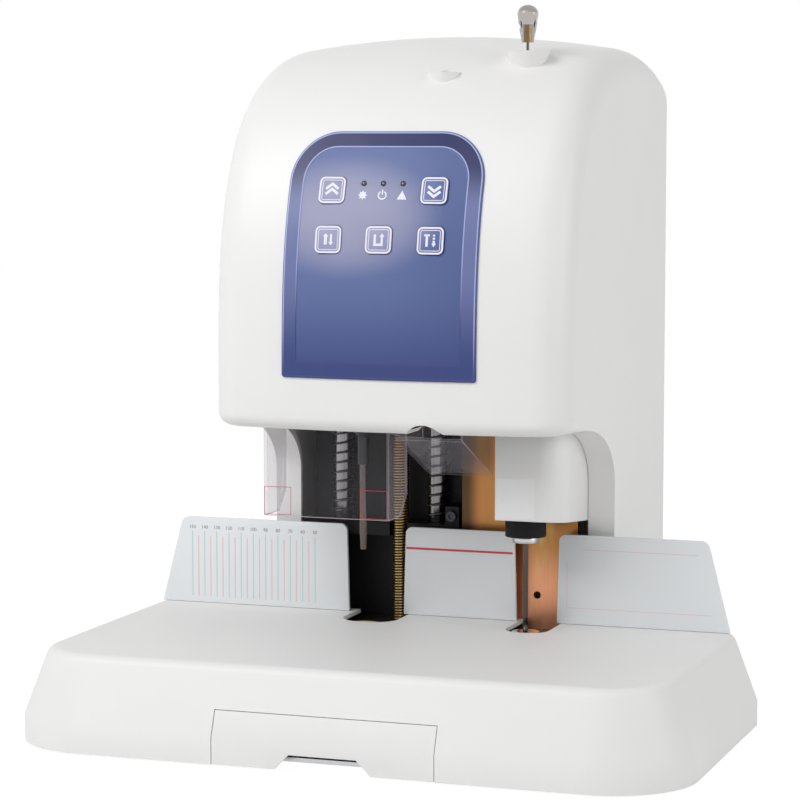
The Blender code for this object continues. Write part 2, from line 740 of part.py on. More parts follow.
def make_paper_bin():
    """Drawer whose face is a piece of the base's own front."""
    floor_z = FOOT_GAP + NOTCH_HEIGHT + BIN_FLOOR_GAP
    origin = (0, FRONT_Y, floor_z)
    front, back = FRONT_Y - OVERRUN, FRONT_Y + BASE_FLARE
    drawer = add_part("paper_bin", base_body(), "white_abs")
    boolean(drawer, add_cutter(base_body(BIN_FACE_WALL)))
    low_z = FOOT_GAP + CLEAR
    cut_box(drawer, (-BIN_HALF, front, low_z), (BIN_HALF, back, BIN_TOP_Z), "INTERSECT")
    half = BIN_HALF - BIN_WALL
    tray = add_cutter(base_body(BIN_FACE_WALL / 2))
    cut_box(tray, (-half, front, floor_z), (half, BIN_BACK_Y, BIN_TRAY_TOP_Z), "INTERSECT")
    boolean(drawer, tray, "UNION")
    inner = half - BIN_WALL
    hollow = add_cutter(base_body(BIN_FACE_WALL))
    low = (-inner, front, floor_z + BIN_WALL)
    cut_box(hollow, low, (inner, BIN_BACK_Y - BIN_WALL, BIN_TOP_Z + OVERRUN), "INTERSECT")
    boolean(drawer, hollow)
    foot, top = -OVERRUN, FOOT_GAP + NOTCH_HEIGHT
    notch = [
        (NOTCH_OFFSET - NOTCH_FOOT_HALF, foot), (NOTCH_OFFSET + NOTCH_FOOT_HALF, foot),
        (NOTCH_OFFSET + NOTCH_TOP_HALF, top), (NOTCH_OFFSET - NOTCH_TOP_HALF, top),
    ]
    cut_slab(drawer, notch, front, FRONT_Y + BIN_FACE_WALL + CLEAR, front_place)
    runner_z = CHASSIS_Z + CHASSIS_THICK + CLEAR
    runner_y = FRONT_Y + CHASSIS_SETBACK + CHASSIS_THICK
    for side in (-1, 1):
        near, far = sorted((side * half, side * (half - BIN_RUNNER)))
        cut_box(drawer, (near, runner_y, runner_z), (far, BIN_BACK_Y, floor_z + BIN_WALL / 2), "UNION")
    move_origin(drawer, origin)


def make_fence():
    """Three upright sections on the ledge, with gaps for the two tools."""
    foot = LEDGE_FOOT_Z + CLEAR
    outer = FENCE_OUTER_RADIUS
    inner = FENCE_INNER_RADIUS
    top = FENCE_TOP_Z

    def inner_corner(x, side):
        centre = (x - side * inner, top - inner)
        return arc(centre, inner, 90 - 90 * side, 90, 3)

    left = [(-FENCE_FOOT_HALF, foot), (DRILL_GAP_LEFT_X + FENCE_DRAFT, foot)]
    left += inner_corner(DRILL_GAP_LEFT_X, 1)
    left += arc((-FENCE_TOP_HALF + outer, top - outer), outer, 90, 166)
    middle = [(DRILL_GAP_RIGHT_X - FENCE_DRAFT, foot), (RIVET_GAP_LEFT_X + FENCE_DRAFT, foot)]
    middle += inner_corner(RIVET_GAP_LEFT_X, 1)
    middle += list(reversed(inner_corner(DRILL_GAP_RIGHT_X, -1)))
    right = [(RIVET_GAP_RIGHT_X - FENCE_DRAFT, foot), (FENCE_FOOT_HALF, foot)]
    right += arc((FENCE_TOP_HALF - outer, top - outer), outer, 14, 90)
    right += list(reversed(inner_corner(RIVET_GAP_RIGHT_X, -1)))
    for name, outline in (("fence_left", left), ("fence_middle", middle), ("fence_right", right)):
        slab(name, outline, FENCE_Y, FENCE_Y + FENCE_THICK, "white_abs", front_place)


def make_chassis():
    front = FRONT_Y + CHASSIS_SETBACK
    rear = REAR_Y - CHASSIS_END_GAP
    step = BASE_REAR_Y - BASE_WALL - CHASSIS_END_GAP
    wide = CHASSIS_FRONT_HALF
    slim = BASE_INNER_HALF - CLEAR
    top = CHASSIS_Z + CHASSIS_THICK
    plate = box("chassis_plate", (-wide, front, CHASSIS_Z), (wide, step, top), "bright_steel")
    cut_box(plate, (-slim, front + CHASSIS_END_GAP, CHASSIS_Z), (slim, rear, top), "UNION")
    near = BIN_HALF - BIN_WALL + BIN_GAP
    for side in (-1, 1):
        inner, outer = sorted((side * near, side * (near + BIN_GUIDE_THICK)))
        low = (inner, front + CHASSIS_THICK, CHASSIS_Z + CHASSIS_THICK / 2)
        cut_box(plate, low, (outer, BIN_BACK_Y, top + BIN_GUIDE_HEIGHT), "UNION")
    for side, word in ((-1, "left"), (1, "right")):
        ends = (("front", FOOT_FRONT_X, front + FOOT_INSET), ("rear", FOOT_REAR_X, rear - FOOT_INSET))
        for end, x, y in ends:
            sole, seat = (side * x, y, 0), (side * x, y, CHASSIS_Z - CLEAR)
            rod("foot_" + end + "_" + word, sole, seat, FOOT_RADIUS, "black_rubber")


# Housing

def brow_point(angle, inset):
    """A point (y, z) and outward direction on the superellipse of face and top, on the middle plane."""
    power = 2 / BROW_POWER_SHARE
    run = CREST_Y - HEAD_FRONT_Y
    rise = CREST_Z - BROW_Z
    across = math.cos(angle)
    up = math.sin(angle)
    y = CREST_Y - run * across ** power
    z = BROW_Z + rise * up ** power
    slope = Vector((0, -(across ** (2 - power)) / run, up ** (2 - power) / rise)).normalized()
    return Vector((0, y, z)) - slope * inset, slope


def face_at(height):
    """Middle-plane depth of the face at a height, and how far its outward direction points up."""
    low, high = 0.0, RIGHT_ANGLE
    for _ in range(40):
        middle = (low + high) / 2
        if brow_point(middle, 0)[0].z < height:
            low = middle
        else:
            high = middle
    point, slope = brow_point(low, 0)
    return point.y, math.atan2(slope.z, -slope.y)


def housing_line(inset):
    """Closed outline on the middle plane: y, z, direction in which outer sections shrink, foot inset."""
    line = []
    radius = HEAD_FOOT_RADIUS - inset
    bottom = HEAD_BOTTOM_Z + inset
    face = HEAD_FRONT_Y + inset
    forward = Vector((0, -1, 0))
    for step in range(3):
        angle = RIGHT_ANGLE * (1 - step / 2)
        fall = radius * (1 - math.cos(angle))
        line.append((face + fall, bottom + radius * (1 - math.sin(angle)), forward, fall))
    line.append((face, (bottom + radius + BROW_Z) / 2, forward, 0))
    for step in range(BROW_STEPS + 1):
        point, slope = brow_point(RIGHT_ANGLE * step / BROW_STEPS, inset)
        line.append((point.y, point.z, slope, 0))
    rear = REAR_Y if inset == 0 else REAR_Y + OVERRUN
    for share in REAR_SHARES:
        y = CREST_Y + (rear - CREST_Y) * share
        drop = 1 - ((y - CREST_Y) / REAR_RUN) ** BROW_POWER_SHARE
        line.append((y, BROW_Z + (CREST_Z - BROW_Z) * drop ** (1 / BROW_POWER_SHARE) - inset, UP, 0))
    foot = FOOT_GAP if inset == 0 else -OVERRUN
    still = Vector((0, 0, 0))
    line.append((rear, foot, still, 0))
    column = COLUMN_FRONT_Y + inset
    line.append((column, foot, still, 0))
    for step in range(ARCH_STEPS + 1):
        angle = RIGHT_ANGLE * step / ARCH_STEPS
        y = column - ARCH_DEPTH * (1 - math.cos(angle))
        z = bottom - ARCH_HEIGHT * (1 - math.sin(angle))
        line.append((y, z, still, 0))
    return line


def housing_stations(inset):
    """(x, how far the section moves in, turn of the edge) across the head, left to right."""
    radius = EDGE_FILLET - inset
    half = HOUSING_HALF - inset
    start = math.atan(2 * CROWN / (HOUSING_HALF - EDGE_FILLET))
    edge_x = half - radius * (1 - math.sin(start))
    edge_in = CROWN * (edge_x / (HOUSING_HALF - EDGE_FILLET)) ** 2
    right = []
    for share in SECTION_SHARES:
        right.append((edge_x * share, edge_in * share ** 2, 0))
    for step in range(ARCH_STEPS + 1):
        angle = start + (RIGHT_ANGLE - start) * step / ARCH_STEPS
        moved = edge_in + radius * (math.cos(start) - math.cos(angle))
        right.append((half - radius * (1 - math.sin(angle)), moved, angle))
    left = [(-x, moved, turn) for x, moved, turn in reversed(right)]
    return left + [(0, 0, 0)] + right


def housing_body(inset=0):
    """Head and column as one solid, made of sections across the machine."""
    line = housing_line(inset)
    rings = []
    for x, moved, turn in housing_stations(inset):
        side = math.copysign(1, x)
        ring = []
        for y, z, slope, corner in line:
            shift = slope * moved
            inward = corner * (1 - math.cos(turn)) if corner else 0
            ring.append((x - side * corner * math.sin(turn), y - shift.y - inward, z - shift.z))
        rings.append(ring)
    return loft("housing", rings)


def button_places():
    upper, lower = BUTTON_TOP_Z, BUTTON_LOWER_Z
    return {
        "up_button": (PANEL_X - BUTTON_PITCH, upper),
        "down_button": (PANEL_X + BUTTON_PITCH, upper),
        "drill_button": (PANEL_X - BUTTON_PITCH, lower),
        "reset_button": (PANEL_X, lower),
        "rivet_button": (PANEL_X + BUTTON_PITCH, lower),
    }


def crown_at(x):
    return CROWN * (x / (HOUSING_HALF - EDGE_FILLET)) ** 2


def on_face(x, z):
    """Place whose w axis points out of the face at this spot, its v axis up along the face."""
    y, tilt = face_at(z)
    outward = Vector((0, -math.cos(tilt), math.sin(tilt)))
    spot = Vector((x, y, z)) - outward * crown_at(x)
    across = Vector((1, 0, 0))
    along = outward.cross(across)
    turn = Matrix((across, along, outward)).transposed().to_4x4()
    return Matrix.Translation(spot) @ turn


def button_outline(extra=0):
    half = BUTTON_SIDE / 2 + extra
    return rounded_box_outline((-half, -half), (half, half), BUTTON_RADIUS + extra, 3)


def panel_outline(extra=0):
    left, right = PANEL_X - PANEL_HALF - extra, PANEL_X + PANEL_HALF + extra
    low, high = PANEL_BOTTOM_Z - extra, PANEL_TOP_Z + extra
    foot = PANEL_FOOT_RADIUS + extra
    top = PANEL_TOP_RADIUS + extra
    line = arc((left + foot, low + foot), foot, 180, 270, 2)
    line += arc((right - foot, low + foot), foot, 270, 360, 2)
    line += arc((right - top, high - top), top, 0, 90, 6)
    return line + arc((left + top, high - top), top, 90, 180, 6)


def make_housing_shell():
    shell = add_part("housing_shell", housing_body(), "white_abs")
    spouts = (
        (RIVET_X, TOOL_Y, BOSS_TOP_Z, BOSS_HEIGHT, BOSS_RADIUS),
        (TUBE_X, PORT_Y, PORT_TOP_Z, PORT_HEIGHT, PORT_RADIUS),
    )
    for x, y, top, height, radius in spouts:
        cut_rod(shell, (x, y, top - height), (x, y, top), BOSS_ROOT_RADIUS, ROUND_SIDES, "UNION", radius)
    boolean(shell, add_cutter(housing_body(HOUSING_WALL)))
    inner = WING_INNER_HALF
    cut_box(
        shell, (-inner, HEAD_FRONT_Y + MOUTH_SETBACK, -OVERRUN),
        (inner, COLUMN_FRONT_Y + 2 * HOUSING_WALL, HEAD_BOTTOM_Z + HOUSING_WALL + OVERRUN),
    )
    axis_z = HEAD_BOTTOM_Z - FINGER_RADIUS + FINGER_RISE
    lip_rear = HEAD_FRONT_Y + MOUTH_SETBACK + OVERRUN
    start, end = (FINGER_X, HEAD_FRONT_Y - OVERRUN, axis_z), (FINGER_X, lip_rear, axis_z)
    cut_rod(shell, start, end, FINGER_RADIUS, LARGE_SIDES)
    top = BOSS_TOP_Z + OVERRUN
    foot = BOSS_TOP_Z - BUSH_LENGTH - OVERRUN
    cut_rod(shell, (RIVET_X, TOOL_Y, foot), (RIVET_X, TOOL_Y, top), BUSH_RADIUS + CLEAR)
    cut_rod(shell, (TUBE_X, PORT_Y, PORT_TOP_Z - 2 * PORT_HEIGHT), (TUBE_X, PORT_Y, top), TUBE_BORE_RADIUS)
    for x, z in button_places().values():
        cut_on_face(shell, x, z, button_outline(SLIDE_GAP), BUTTON_THICK * 2)


def cut_on_face(item, x, z, outline, depth, operation="DIFFERENCE"):
    """Cut straight into the face at this spot, to a depth, and out past its surface."""
    place = on_face(x, z) @ Matrix.Translation((0, 0, (EDGE_RADIUS - depth) / 2))
    boolean(item, add_cutter(outline_mesh("face_tool", outline, depth + EDGE_RADIUS, place)), operation)


def make_control_panel():
    panel = add_part("control_panel", housing_body(-PANEL_PROUD), "panel_blue")
    boolean(panel, add_cutter(housing_body(-CLEAR)))
    front = HEAD_FRONT_Y - 2 * PANEL_PROUD
    middle = TOOL_Y
    cut_slab(panel, panel_outline(), front, middle, front_place, "INTERSECT")
    for x, z in button_places().values():
        cut_on_face(panel, x, z, button_outline(SLIDE_GAP), BUTTON_THICK)
    place = on_face(PANEL_X, BUTTON_TOP_Z + LAMP_RISE)
    shell = bpy.data.objects["housing_shell"]
    behind = -HOUSING_WALL - LAMP_BAR_GAP
    half = LAMP_PITCH + 2 * LAMP_RADIUS
    low = (-half, -2 * LAMP_RADIUS, behind - LAMP_BAR_THICK)
    mesh = box_mesh("indicator_lenses", low, (half, 2 * LAMP_RADIUS, behind))
    mesh.transform(place)
    lenses = add_part("indicator_lenses", mesh, "lamp_dark")
    for step in (-1, 0, 1):
        x = step * LAMP_PITCH
        root = place @ Vector((x, 0, behind - LAMP_BAR_THICK / 2))
        cut_rod(lenses, root, place @ Vector((x, 0, PANEL_PROUD)), LAMP_RADIUS, SMALL_SIDES, "UNION")
        inside, outside = place @ Vector((x, 0, behind)), place @ Vector((x, 0, EDGE_RADIUS))
        for item in (panel, shell):
            cut_rod(item, inside, outside, LAMP_RADIUS + CLEAR, SMALL_SIDES)


def make_buttons():
    for name, (x, z) in button_places().items():
        place = on_face(x, z)
        high = PANEL_PROUD + BUTTON_PROUD
        middle = place @ Matrix.Translation((0, 0, high - BUTTON_THICK / 2))
        mesh = outline_mesh(name, button_outline(), BUTTON_THICK, middle)
        add_part(name, mesh, "button_blue", place.translation)


def cover_screw_places():
    side_x = HOUSING_HALF - HOUSING_WALL - COVER_SCREW_INSET
    top_row = CREST_Z - EDGE_FILLET - 2 * COVER_SCREW_INSET
    rows = (REAR_COVER_FOOT_Z + COVER_SCREW_INSET, VENT_Z / 2, top_row)
    return [(side * side_x, row) for side in (-1, 1) for row in rows]


def make_rear_cover():
    gap = HOUSING_WALL + REAR_COVER_GAP
    outer = REAR_Y - REAR_COVER_INSET
    inner = outer - REAR_COVER_THICK
    cover = add_part("rear_cover", housing_body(gap), "white_abs")
    half = HOUSING_HALF
    cut_box(cover, (-half, inner, REAR_COVER_FOOT_Z), (half, outer, CREST_Z), "INTERSECT")
    front, back = inner - OVERRUN, outer + OVERRUN
    for column in range(VENT_COUNT):
        x = (column - (VENT_COUNT - 1) / 2) * VENT_PITCH
        low = (x - VENT_WIDTH / 2, front, VENT_Z - VENT_HALF_LENGTH)
        cut_box(cover, low, (x + VENT_WIDTH / 2, back, VENT_Z + VENT_HALF_LENGTH))
    for x, width, height in ((INLET_X, INLET_WIDTH, INLET_HEIGHT), (SWITCH_X, SWITCH_WIDTH, SWITCH_HEIGHT)):
        side, rise = width / 2 + CLEAR, height / 2 + CLEAR
        cut_box(cover, (x - side, front, INLET_Z - rise), (x + side, back, INLET_Z + rise))
    for x, z in cover_screw_places():
        depth = outer - COVER_SCREW_HEAD - 2 * CLEAR
        cut_rod(cover, (x, depth, z), (x, back, z), COVER_SCREW_RADIUS + 2 * CLEAR, SMALL_SIDES)
        cut_rod(cover, (x, depth - CLEAR, z), (x, outer, z), COVER_SCREW_RADIUS, SMALL_SIDES, "UNION")
    make_rear_fittings(outer)


def make_rear_fittings(outer):
    half_width, half_height = INLET_WIDTH / 2, INLET_HEIGHT / 2
    front = outer - INLET_DEPTH
    inlet = box(
        "power_inlet", (INLET_X - half_width, front, INLET_Z - half_height),
        (INLET_X + half_width, outer, INLET_Z + half_height), "black_plastic",
    )
    behind = outer - REAR_COVER_THICK
    rim = INLET_FLANGE
    cut_box(
        inlet, (INLET_X - half_width - rim, behind - rim, INLET_Z - half_height - rim),
        (INLET_X + half_width + rim, behind - CLEAR, INLET_Z + half_height + rim), "UNION",
    )
    side, rise = half_width * INLET_POCKET_SHARE, half_height * INLET_POCKET_SHARE
    low = (INLET_X - side, front + rim, INLET_Z - rise)
    cut_box(inlet, low, (INLET_X + side, outer + OVERRUN, INLET_Z + rise))
    for step in (-1, 0, 1):
        x = INLET_X + step * side / 2
        z = INLET_Z + INLET_PIN_RADIUS * (2 - 3 * abs(step))
        cut_rod(inlet, (x, front + rim / 2, z), (x, outer - rim, z), INLET_PIN_RADIUS, SMALL_SIDES, "UNION")
    rise = SWITCH_HEIGHT / 2 - CLEAR
    width = SWITCH_WIDTH / 2 - CLEAR
    rocker = [
        (outer - SWITCH_DEPTH, INLET_Z - rise / 2), (outer - SWITCH_TILT, INLET_Z - rise), (outer, INLET_Z),
        (outer - SWITCH_TILT, INLET_Z + rise), (outer - SWITCH_DEPTH, INLET_Z + rise / 2),
    ]
    origin = (SWITCH_X, outer - SWITCH_TILT, INLET_Z)
    slab("power_switch", rocker, SWITCH_X - width, SWITCH_X + width, "black_plastic", side_place, origin)


# Frame of the mechanism

def plate_back():
    return FENCE_Y + BACK_PLATE_SETBACK


def plate_rivet():
    return FENCE_Y + RIVET_PLATE_SETBACK


def post_places():
    y = FENCE_Y + POST_SETBACK
    return {"left": (DRILL_X - POST_SPREAD, y), "right": (DRILL_X + POST_SPREAD, y)}


def screw_place():
    return DRILL_X + SCREW_OFFSET, FENCE_Y + SCREW_SETBACK


def make_frame():
    foot = CHASSIS_Z + CHASSIS_THICK + CLEAR
    top = TOP_PLATE_Z - CLEAR
    back = plate_back()
    box(
        "back_plate", (BACK_PLATE_LEFT_X, back, foot),
        (BACK_PLATE_RIGHT_X, back + BACK_PLATE_THICK, top), "black_steel",
    )
    front = plate_rivet()
    rivet = box(
        "rivet_plate", (RIVET_PLATE_LEFT_X, front, foot),
        (RIVET_PLATE_RIGHT_X, front + RIVET_PLATE_THICK, top), "zinc_yellow",
    )
    low = (RIVET_X - SHELF_HALF, front - SHELF_REACH, SHELF_Z)
    high = (RIVET_X + SHELF_HALF, front + RIVET_PLATE_THICK / 2, SHELF_Z + SHELF_THICK)
    cut_box(rivet, low, high, "UNION")
    drive_y = FENCE_Y + RIVET_DRIVE_SETBACK
    depth = SHELF_THICK / 2
    screw_foot = SHELF_Z + SHELF_THICK - depth
    bearing = RIVET_SCREW_RADIUS + SLIDE_GAP
    cut_rod(rivet, (RIVET_X, drive_y, screw_foot), (RIVET_X, drive_y, SLIDE_Z), bearing)
    x = RIVET_X - PLATE_HOLE_OFFSET
    cut_rod(
        rivet, (x, front - OVERRUN, PLATE_HOLE_Z), (x, front + RIVET_PLATE_THICK + OVERRUN, PLATE_HOLE_Z),
        PLATE_HOLE_RADIUS,
    )
    make_cross_plate()
    make_top_plate()
    make_beam()


def make_cross_plate():
    front = FENCE_Y + CROSS_PLATE_SETBACK
    high = CROSS_PLATE_Z + CROSS_PLATE_THICK
    rear = plate_back() - CLEAR
    low = (BACK_PLATE_LEFT_X, front, CROSS_PLATE_Z)
    plate = box("cross_plate", low, (BACK_PLATE_RIGHT_X, rear, high), "black_steel")
    lug_low = (BACK_PLATE_RIGHT_X - LUG_WIDTH, front, high - LUG_HEIGHT / 2)
    cut_box(plate, lug_low, (BACK_PLATE_RIGHT_X, rear, high + LUG_HEIGHT), "UNION")
    x, y = screw_place()
    gap = SCREW_RADIUS + 2 * SLIDE_GAP
    cut_rod(plate, (x, y, CROSS_PLATE_Z - OVERRUN), (x, y, high + OVERRUN), gap)
    cut_box(plate, (x - gap, front - OVERRUN, CROSS_PLATE_Z - OVERRUN), (x + gap, y, high + OVERRUN))


def make_top_plate():
    """Plate over both stations, with a tab that carries the tube guide."""
    left, right = BACK_PLATE_LEFT_X, RIVET_PLATE_RIGHT_X
    front = FENCE_Y - TOP_PLATE_SETFORWARD
    rear = TOP_PLATE_REAR_Y
    tab_front = PORT_Y - TAB_REACH
    high = TOP_PLATE_Z + TOP_PLATE_THICK
    plate = box("top_plate", (left, front, TOP_PLATE_Z), (right, rear, high), "bright_steel")
    tab_rear = front + TAB_REACH
    low = (TUBE_X - TAB_HALF, tab_front, TOP_PLATE_Z)
    cut_box(plate, low, (TUBE_X + TAB_HALF, tab_rear, high), "UNION")
    x, y = screw_place()
    low_z, high_z = TOP_PLATE_Z - OVERRUN, high + OVERRUN
    cut_rod(plate, (x, y, low_z), (x, y, high_z), SCREW_RADIUS + SLIDE_GAP)
    motor_y = PRESS_MOTOR_Y
    cut_rod(plate, (x, motor_y, low_z), (x, motor_y, high_z), PRESS_SHAFT_RADIUS + SLIDE_GAP)
    cut_rod(plate, (TUBE_X, PORT_Y, low_z), (TUBE_X, PORT_Y, high_z), TUBE_PIPE_RADIUS + CLEAR)


def make_beam():
    """Bar under the platform that takes the pressure of both tools."""
    front = TOOL_Y - BEAM_REACH
    left = DRILL_X - BEAM_SIDE
    turn_x = (BACK_PLATE_RIGHT_X + RIVET_PLATE_LEFT_X) / 2
    outline = [
        (left, front), (RIVET_X + BEAM_SIDE, front), (RIVET_X + BEAM_SIDE, plate_rivet() - CLEAR),
        (turn_x, plate_rivet() - CLEAR), (turn_x, plate_back() - CLEAR), (left, plate_back() - CLEAR),
    ]
    high = BEAM_Z + BEAM_THICK
    beam = slab("anvil_beam", outline, BEAM_Z, high, "black_steel")
    x, y = screw_place()
    cut_rod(beam, (x, y, BEAM_Z + BEAM_THICK / 4), (x, y, high + OVERRUN), SCREW_RADIUS + SLIDE_GAP)
    low_z, high_z = BEAM_Z - OVERRUN, high + OVERRUN
    cut_rod(beam, (DRILL_X, TOOL_Y, low_z), (DRILL_X, TOOL_Y, high_z), CHIP_HOLE_RADIUS)
    pad_foot = high + CLEAR
    dish_z = PAD_TOP_Z - PAD_DISH_DEPTH
    turned("cutting_pad", [
        (0, dish_z), (PAD_DISH_RADIUS, dish_z), (PAD_DISH_RADIUS, PAD_TOP_Z), (PAD_RADIUS, PAD_TOP_Z),
        (PAD_RADIUS, pad_foot), (0, pad_foot),
    ], DRILL_X, TOOL_Y, "pad_beige", sides=LARGE_SIDES)
    bore = NEEDLE_RADIUS + BORE_GAP / 2
    turned(
        "rivet_anvil", ring_profile(ANVIL_RADIUS, bore, pad_foot, pad_foot + ANVIL_HEIGHT),
        RIVET_X, TOOL_Y, "bright_steel",
    )


# Drill station

def spring_path(height):
    """Points along a compression spring; each end runs straight on for one wire thickness."""
    radius = SPRING_RADIUS - WIRE_RADIUS
    straight = 2 * WIRE_RADIUS
    total = SPRING_CURLS * CURL_POINTS
    points = [Vector((radius, -straight, WIRE_RADIUS))]
    for i in range(total + 1):
        angle = 2 * math.pi * i / CURL_POINTS
        z = WIRE_RADIUS + (height - 2 * WIRE_RADIUS) * i / total
        points.append(Vector((radius * math.cos(angle), radius * math.sin(angle), z)))
    points.append(points[-1] + BACK * straight)
    return points


def least_gap(points):
    """Smallest distance between the surfaces of two neighbouring curls, measured on the path's points."""
    best = None
    skip = CURL_POINTS // 2 + 1
    for i, point in enumerate(points):
        for other in points[i + skip:]:
            distance = (point - other).length - 2 * WIRE_RADIUS
            if best is None or distance < best:
                best = distance
    return best


def make_spring(name, x, y):
    low = CROSS_PLATE_Z + CROSS_PLATE_THICK + CLEAR
    high = CARRIAGE_Z - CLEAR
    points = spring_path(high - low)
    print(name, "least gap between curls, mm:", round(least_gap(points) * 1000, 2))
    curve = bpy.data.curves.new(name, "CURVE")
    curve.dimensions = "3D"
    curve.bevel_depth = WIRE_RADIUS
    curve.bevel_resolution = 1
    curve.use_fill_caps = True
    line = curve.splines.new("POLY")
    line.points.add(len(points) - 1)
    for target, point in zip(line.points, points):
        target.co = (*point, 1)
    curve.materials.append(MATERIALS["spring_steel"])
    item = bpy.data.objects.new(name, curve)
    item.location = (x, y, low)
    PARTS.objects.link(item)
    weld = item.modifiers.new("weld", "WELD")
    weld.merge_threshold = MERGE


def make_posts():
    low = CROSS_PLATE_Z + CROSS_PLATE_THICK + CLEAR
    for side, (x, y) in post_places().items():
        rod("guide_post_" + side, (x, y, low), (x, y, TOP_PLATE_Z - CLEAR), POST_RADIUS, "bright_steel")
        make_spring("spring_" + side, x, y)


def make_carriage():
    """Block that slides on the posts and reaches forward to the drill."""
    y = FENCE_Y + POST_SETBACK
    rear = y + CARRIAGE_REAR_DEPTH / 3
    step = rear - CARRIAGE_REAR_DEPTH
    front = TOOL_Y - CARRIAGE_ARM_HALF
    wide, arm = CARRIAGE_HALF, CARRIAGE_ARM_HALF
    high = CARRIAGE_Z + CARRIAGE_THICK
    origin = (DRILL_X, TOOL_Y, CARRIAGE_Z)
    low = (DRILL_X - wide, step, CARRIAGE_Z)
    block = box("drill_carriage", low, (DRILL_X + wide, rear, high), "aluminium", origin)
    cut_box(block, (DRILL_X - arm, front, CARRIAGE_Z), (DRILL_X + arm, step + arm / 2, high), "UNION")
    low_z, high_z = CARRIAGE_Z - OVERRUN, high + OVERRUN
    for x, post_y in post_places().values():
        cut_rod(block, (x, post_y, low_z), (x, post_y, high_z), POST_RADIUS + SLIDE_GAP)
    x, screw_y = screw_place()
    cut_rod(block, (x, screw_y, low_z), (x, screw_y, high_z), NUT_RADIUS + CLEAR)
    cut_rod(block, (DRILL_X, TOOL_Y, low_z), (DRILL_X, TOOL_Y, high_z), CHUCK_SHAFT_RADIUS + SLIDE_GAP)
    bore = SCREW_RADIUS + SLIDE_GAP
    foot = CARRIAGE_Z - CLEAR
    turned("carriage_nut", [
        (NUT_RADIUS, high), (NUT_RADIUS, foot), (NUT_FLANGE_RADIUS, foot),
        (NUT_FLANGE_RADIUS, foot - NUT_FLANGE_THICK), (bore, foot - NUT_FLANGE_THICK), (bore, high),
    ], x, screw_y, "brass", CARRIAGE_Z)
    base = high + CLEAR
    can_top = base + MOTOR_HEIGHT
    boss_top = can_top + MOTOR_BOSS_HEIGHT
    turned("drill_motor", [
        (0, boss_top), (MOTOR_BOSS_RADIUS, boss_top), (MOTOR_BOSS_RADIUS, can_top), (MOTOR_RADIUS, can_top),
        (MOTOR_RADIUS, base), (0, base),
    ], DRILL_X, TOOL_Y, "motor_grey", CARRIAGE_Z, LARGE_SIDES)


def make_drill():
    """Spindle with chuck, and the hollow drill in it."""
    top = CARRIAGE_Z + CARRIAGE_THICK
    bore = BIT_RADIUS + CLEAR
    socket_top = BIT_TOP_Z + CLEAR
    under = CARRIAGE_Z - CLEAR
    turned("drill_chuck", [
        (0, top), (CHUCK_SHAFT_RADIUS, top), (CHUCK_SHAFT_RADIUS, under), (CHUCK_RADIUS, under),
        (CHUCK_RADIUS, CHUCK_SHOULDER_Z), (CHUCK_NOSE_RADIUS, CHUCK_SHOULDER_Z - CHUCK_NOSE_RADIUS),
        (CHUCK_NOSE_RADIUS, CHUCK_NOSE_Z), (bore, CHUCK_NOSE_Z), (bore, socket_top), (0, socket_top),
    ], DRILL_X, TOOL_Y, "bright_steel", CARRIAGE_Z)
    turned(
        "drill_bit", ring_profile(BIT_RADIUS, BIT_BORE_RADIUS, BIT_TIP_Z, BIT_TOP_Z),
        DRILL_X, TOOL_Y, "bright_steel", BIT_TIP_Z,
    )


def pulley_profile(radius, low, bore_z):
    """Profile of a pulley with two rims, down to the height where its shaft begins."""
    high = low + PULLEY_HEIGHT
    rim = radius + PULLEY_LIP
    return [
        (0, high), (rim, high), (rim, high - PULLEY_RIM), (radius, high - PULLEY_RIM),
        (radius, low + PULLEY_RIM), (rim, low + PULLEY_RIM), (rim, low), (bore_z, low),
    ]


def make_press_drive():
    x, y = screw_place()
    foot = BEAM_Z + BEAM_THICK / 4 + CLEAR
    low = TOP_PLATE_Z + TOP_PLATE_THICK + CLEAR
    profile = pulley_profile(SCREW_PULLEY_RADIUS, low, SCREW_RADIUS)
    profile += [(SCREW_RADIUS, foot), (0, foot)]
    turned("lead_screw", profile, x, y, "brass", foot, LARGE_SIDES)
    motor_y = PRESS_MOTOR_Y
    motor_top = TOP_PLATE_Z - CLEAR
    shaft = [(PRESS_SHAFT_RADIUS, low), (PRESS_SHAFT_RADIUS, motor_top + CLEAR), (0, motor_top + CLEAR)]
    profile = pulley_profile(MOTOR_PULLEY_RADIUS, low, PRESS_SHAFT_RADIUS)[:-1] + shaft
    turned("motor_pulley", profile, x, motor_y, "black_plastic", low)
    rod(
        "press_motor", (x, motor_y, motor_top - PRESS_MOTOR_HEIGHT), (x, motor_y, motor_top),
        PRESS_MOTOR_RADIUS, "motor_grey", sides=LARGE_SIDES,
    )
    make_belt(x, y, motor_y, low)


def belt_outline(x, near_y, far_y, near_radius, far_radius):
    """Racing-track line round two pulleys."""
    reach = math.degrees(math.asin((near_radius - far_radius) / (far_y - near_y)))
    near = arc((x, near_y), near_radius, 180 - reach, 360 + reach, 3 * CORNER_STEPS)
    return near + arc((x, far_y), far_radius, reach, 180 - reach, 2 * CORNER_STEPS)


def make_belt(x, y, motor_y, low):
    room = PULLEY_RIM + CLEAR
    foot, top = low + room, low + PULLEY_HEIGHT - room
    radii = (SCREW_PULLEY_RADIUS + CLEAR, MOTOR_PULLEY_RADIUS + CLEAR)
    outer = belt_outline(x, y, motor_y, radii[0] + BELT_THICK, radii[1] + BELT_THICK)
    belt = slab("drive_belt", outer, foot, top, "black_rubber")
    cut_slab(belt, belt_outline(x, y, motor_y, *radii), foot - OVERRUN, top + OVERRUN)


# Rivet station

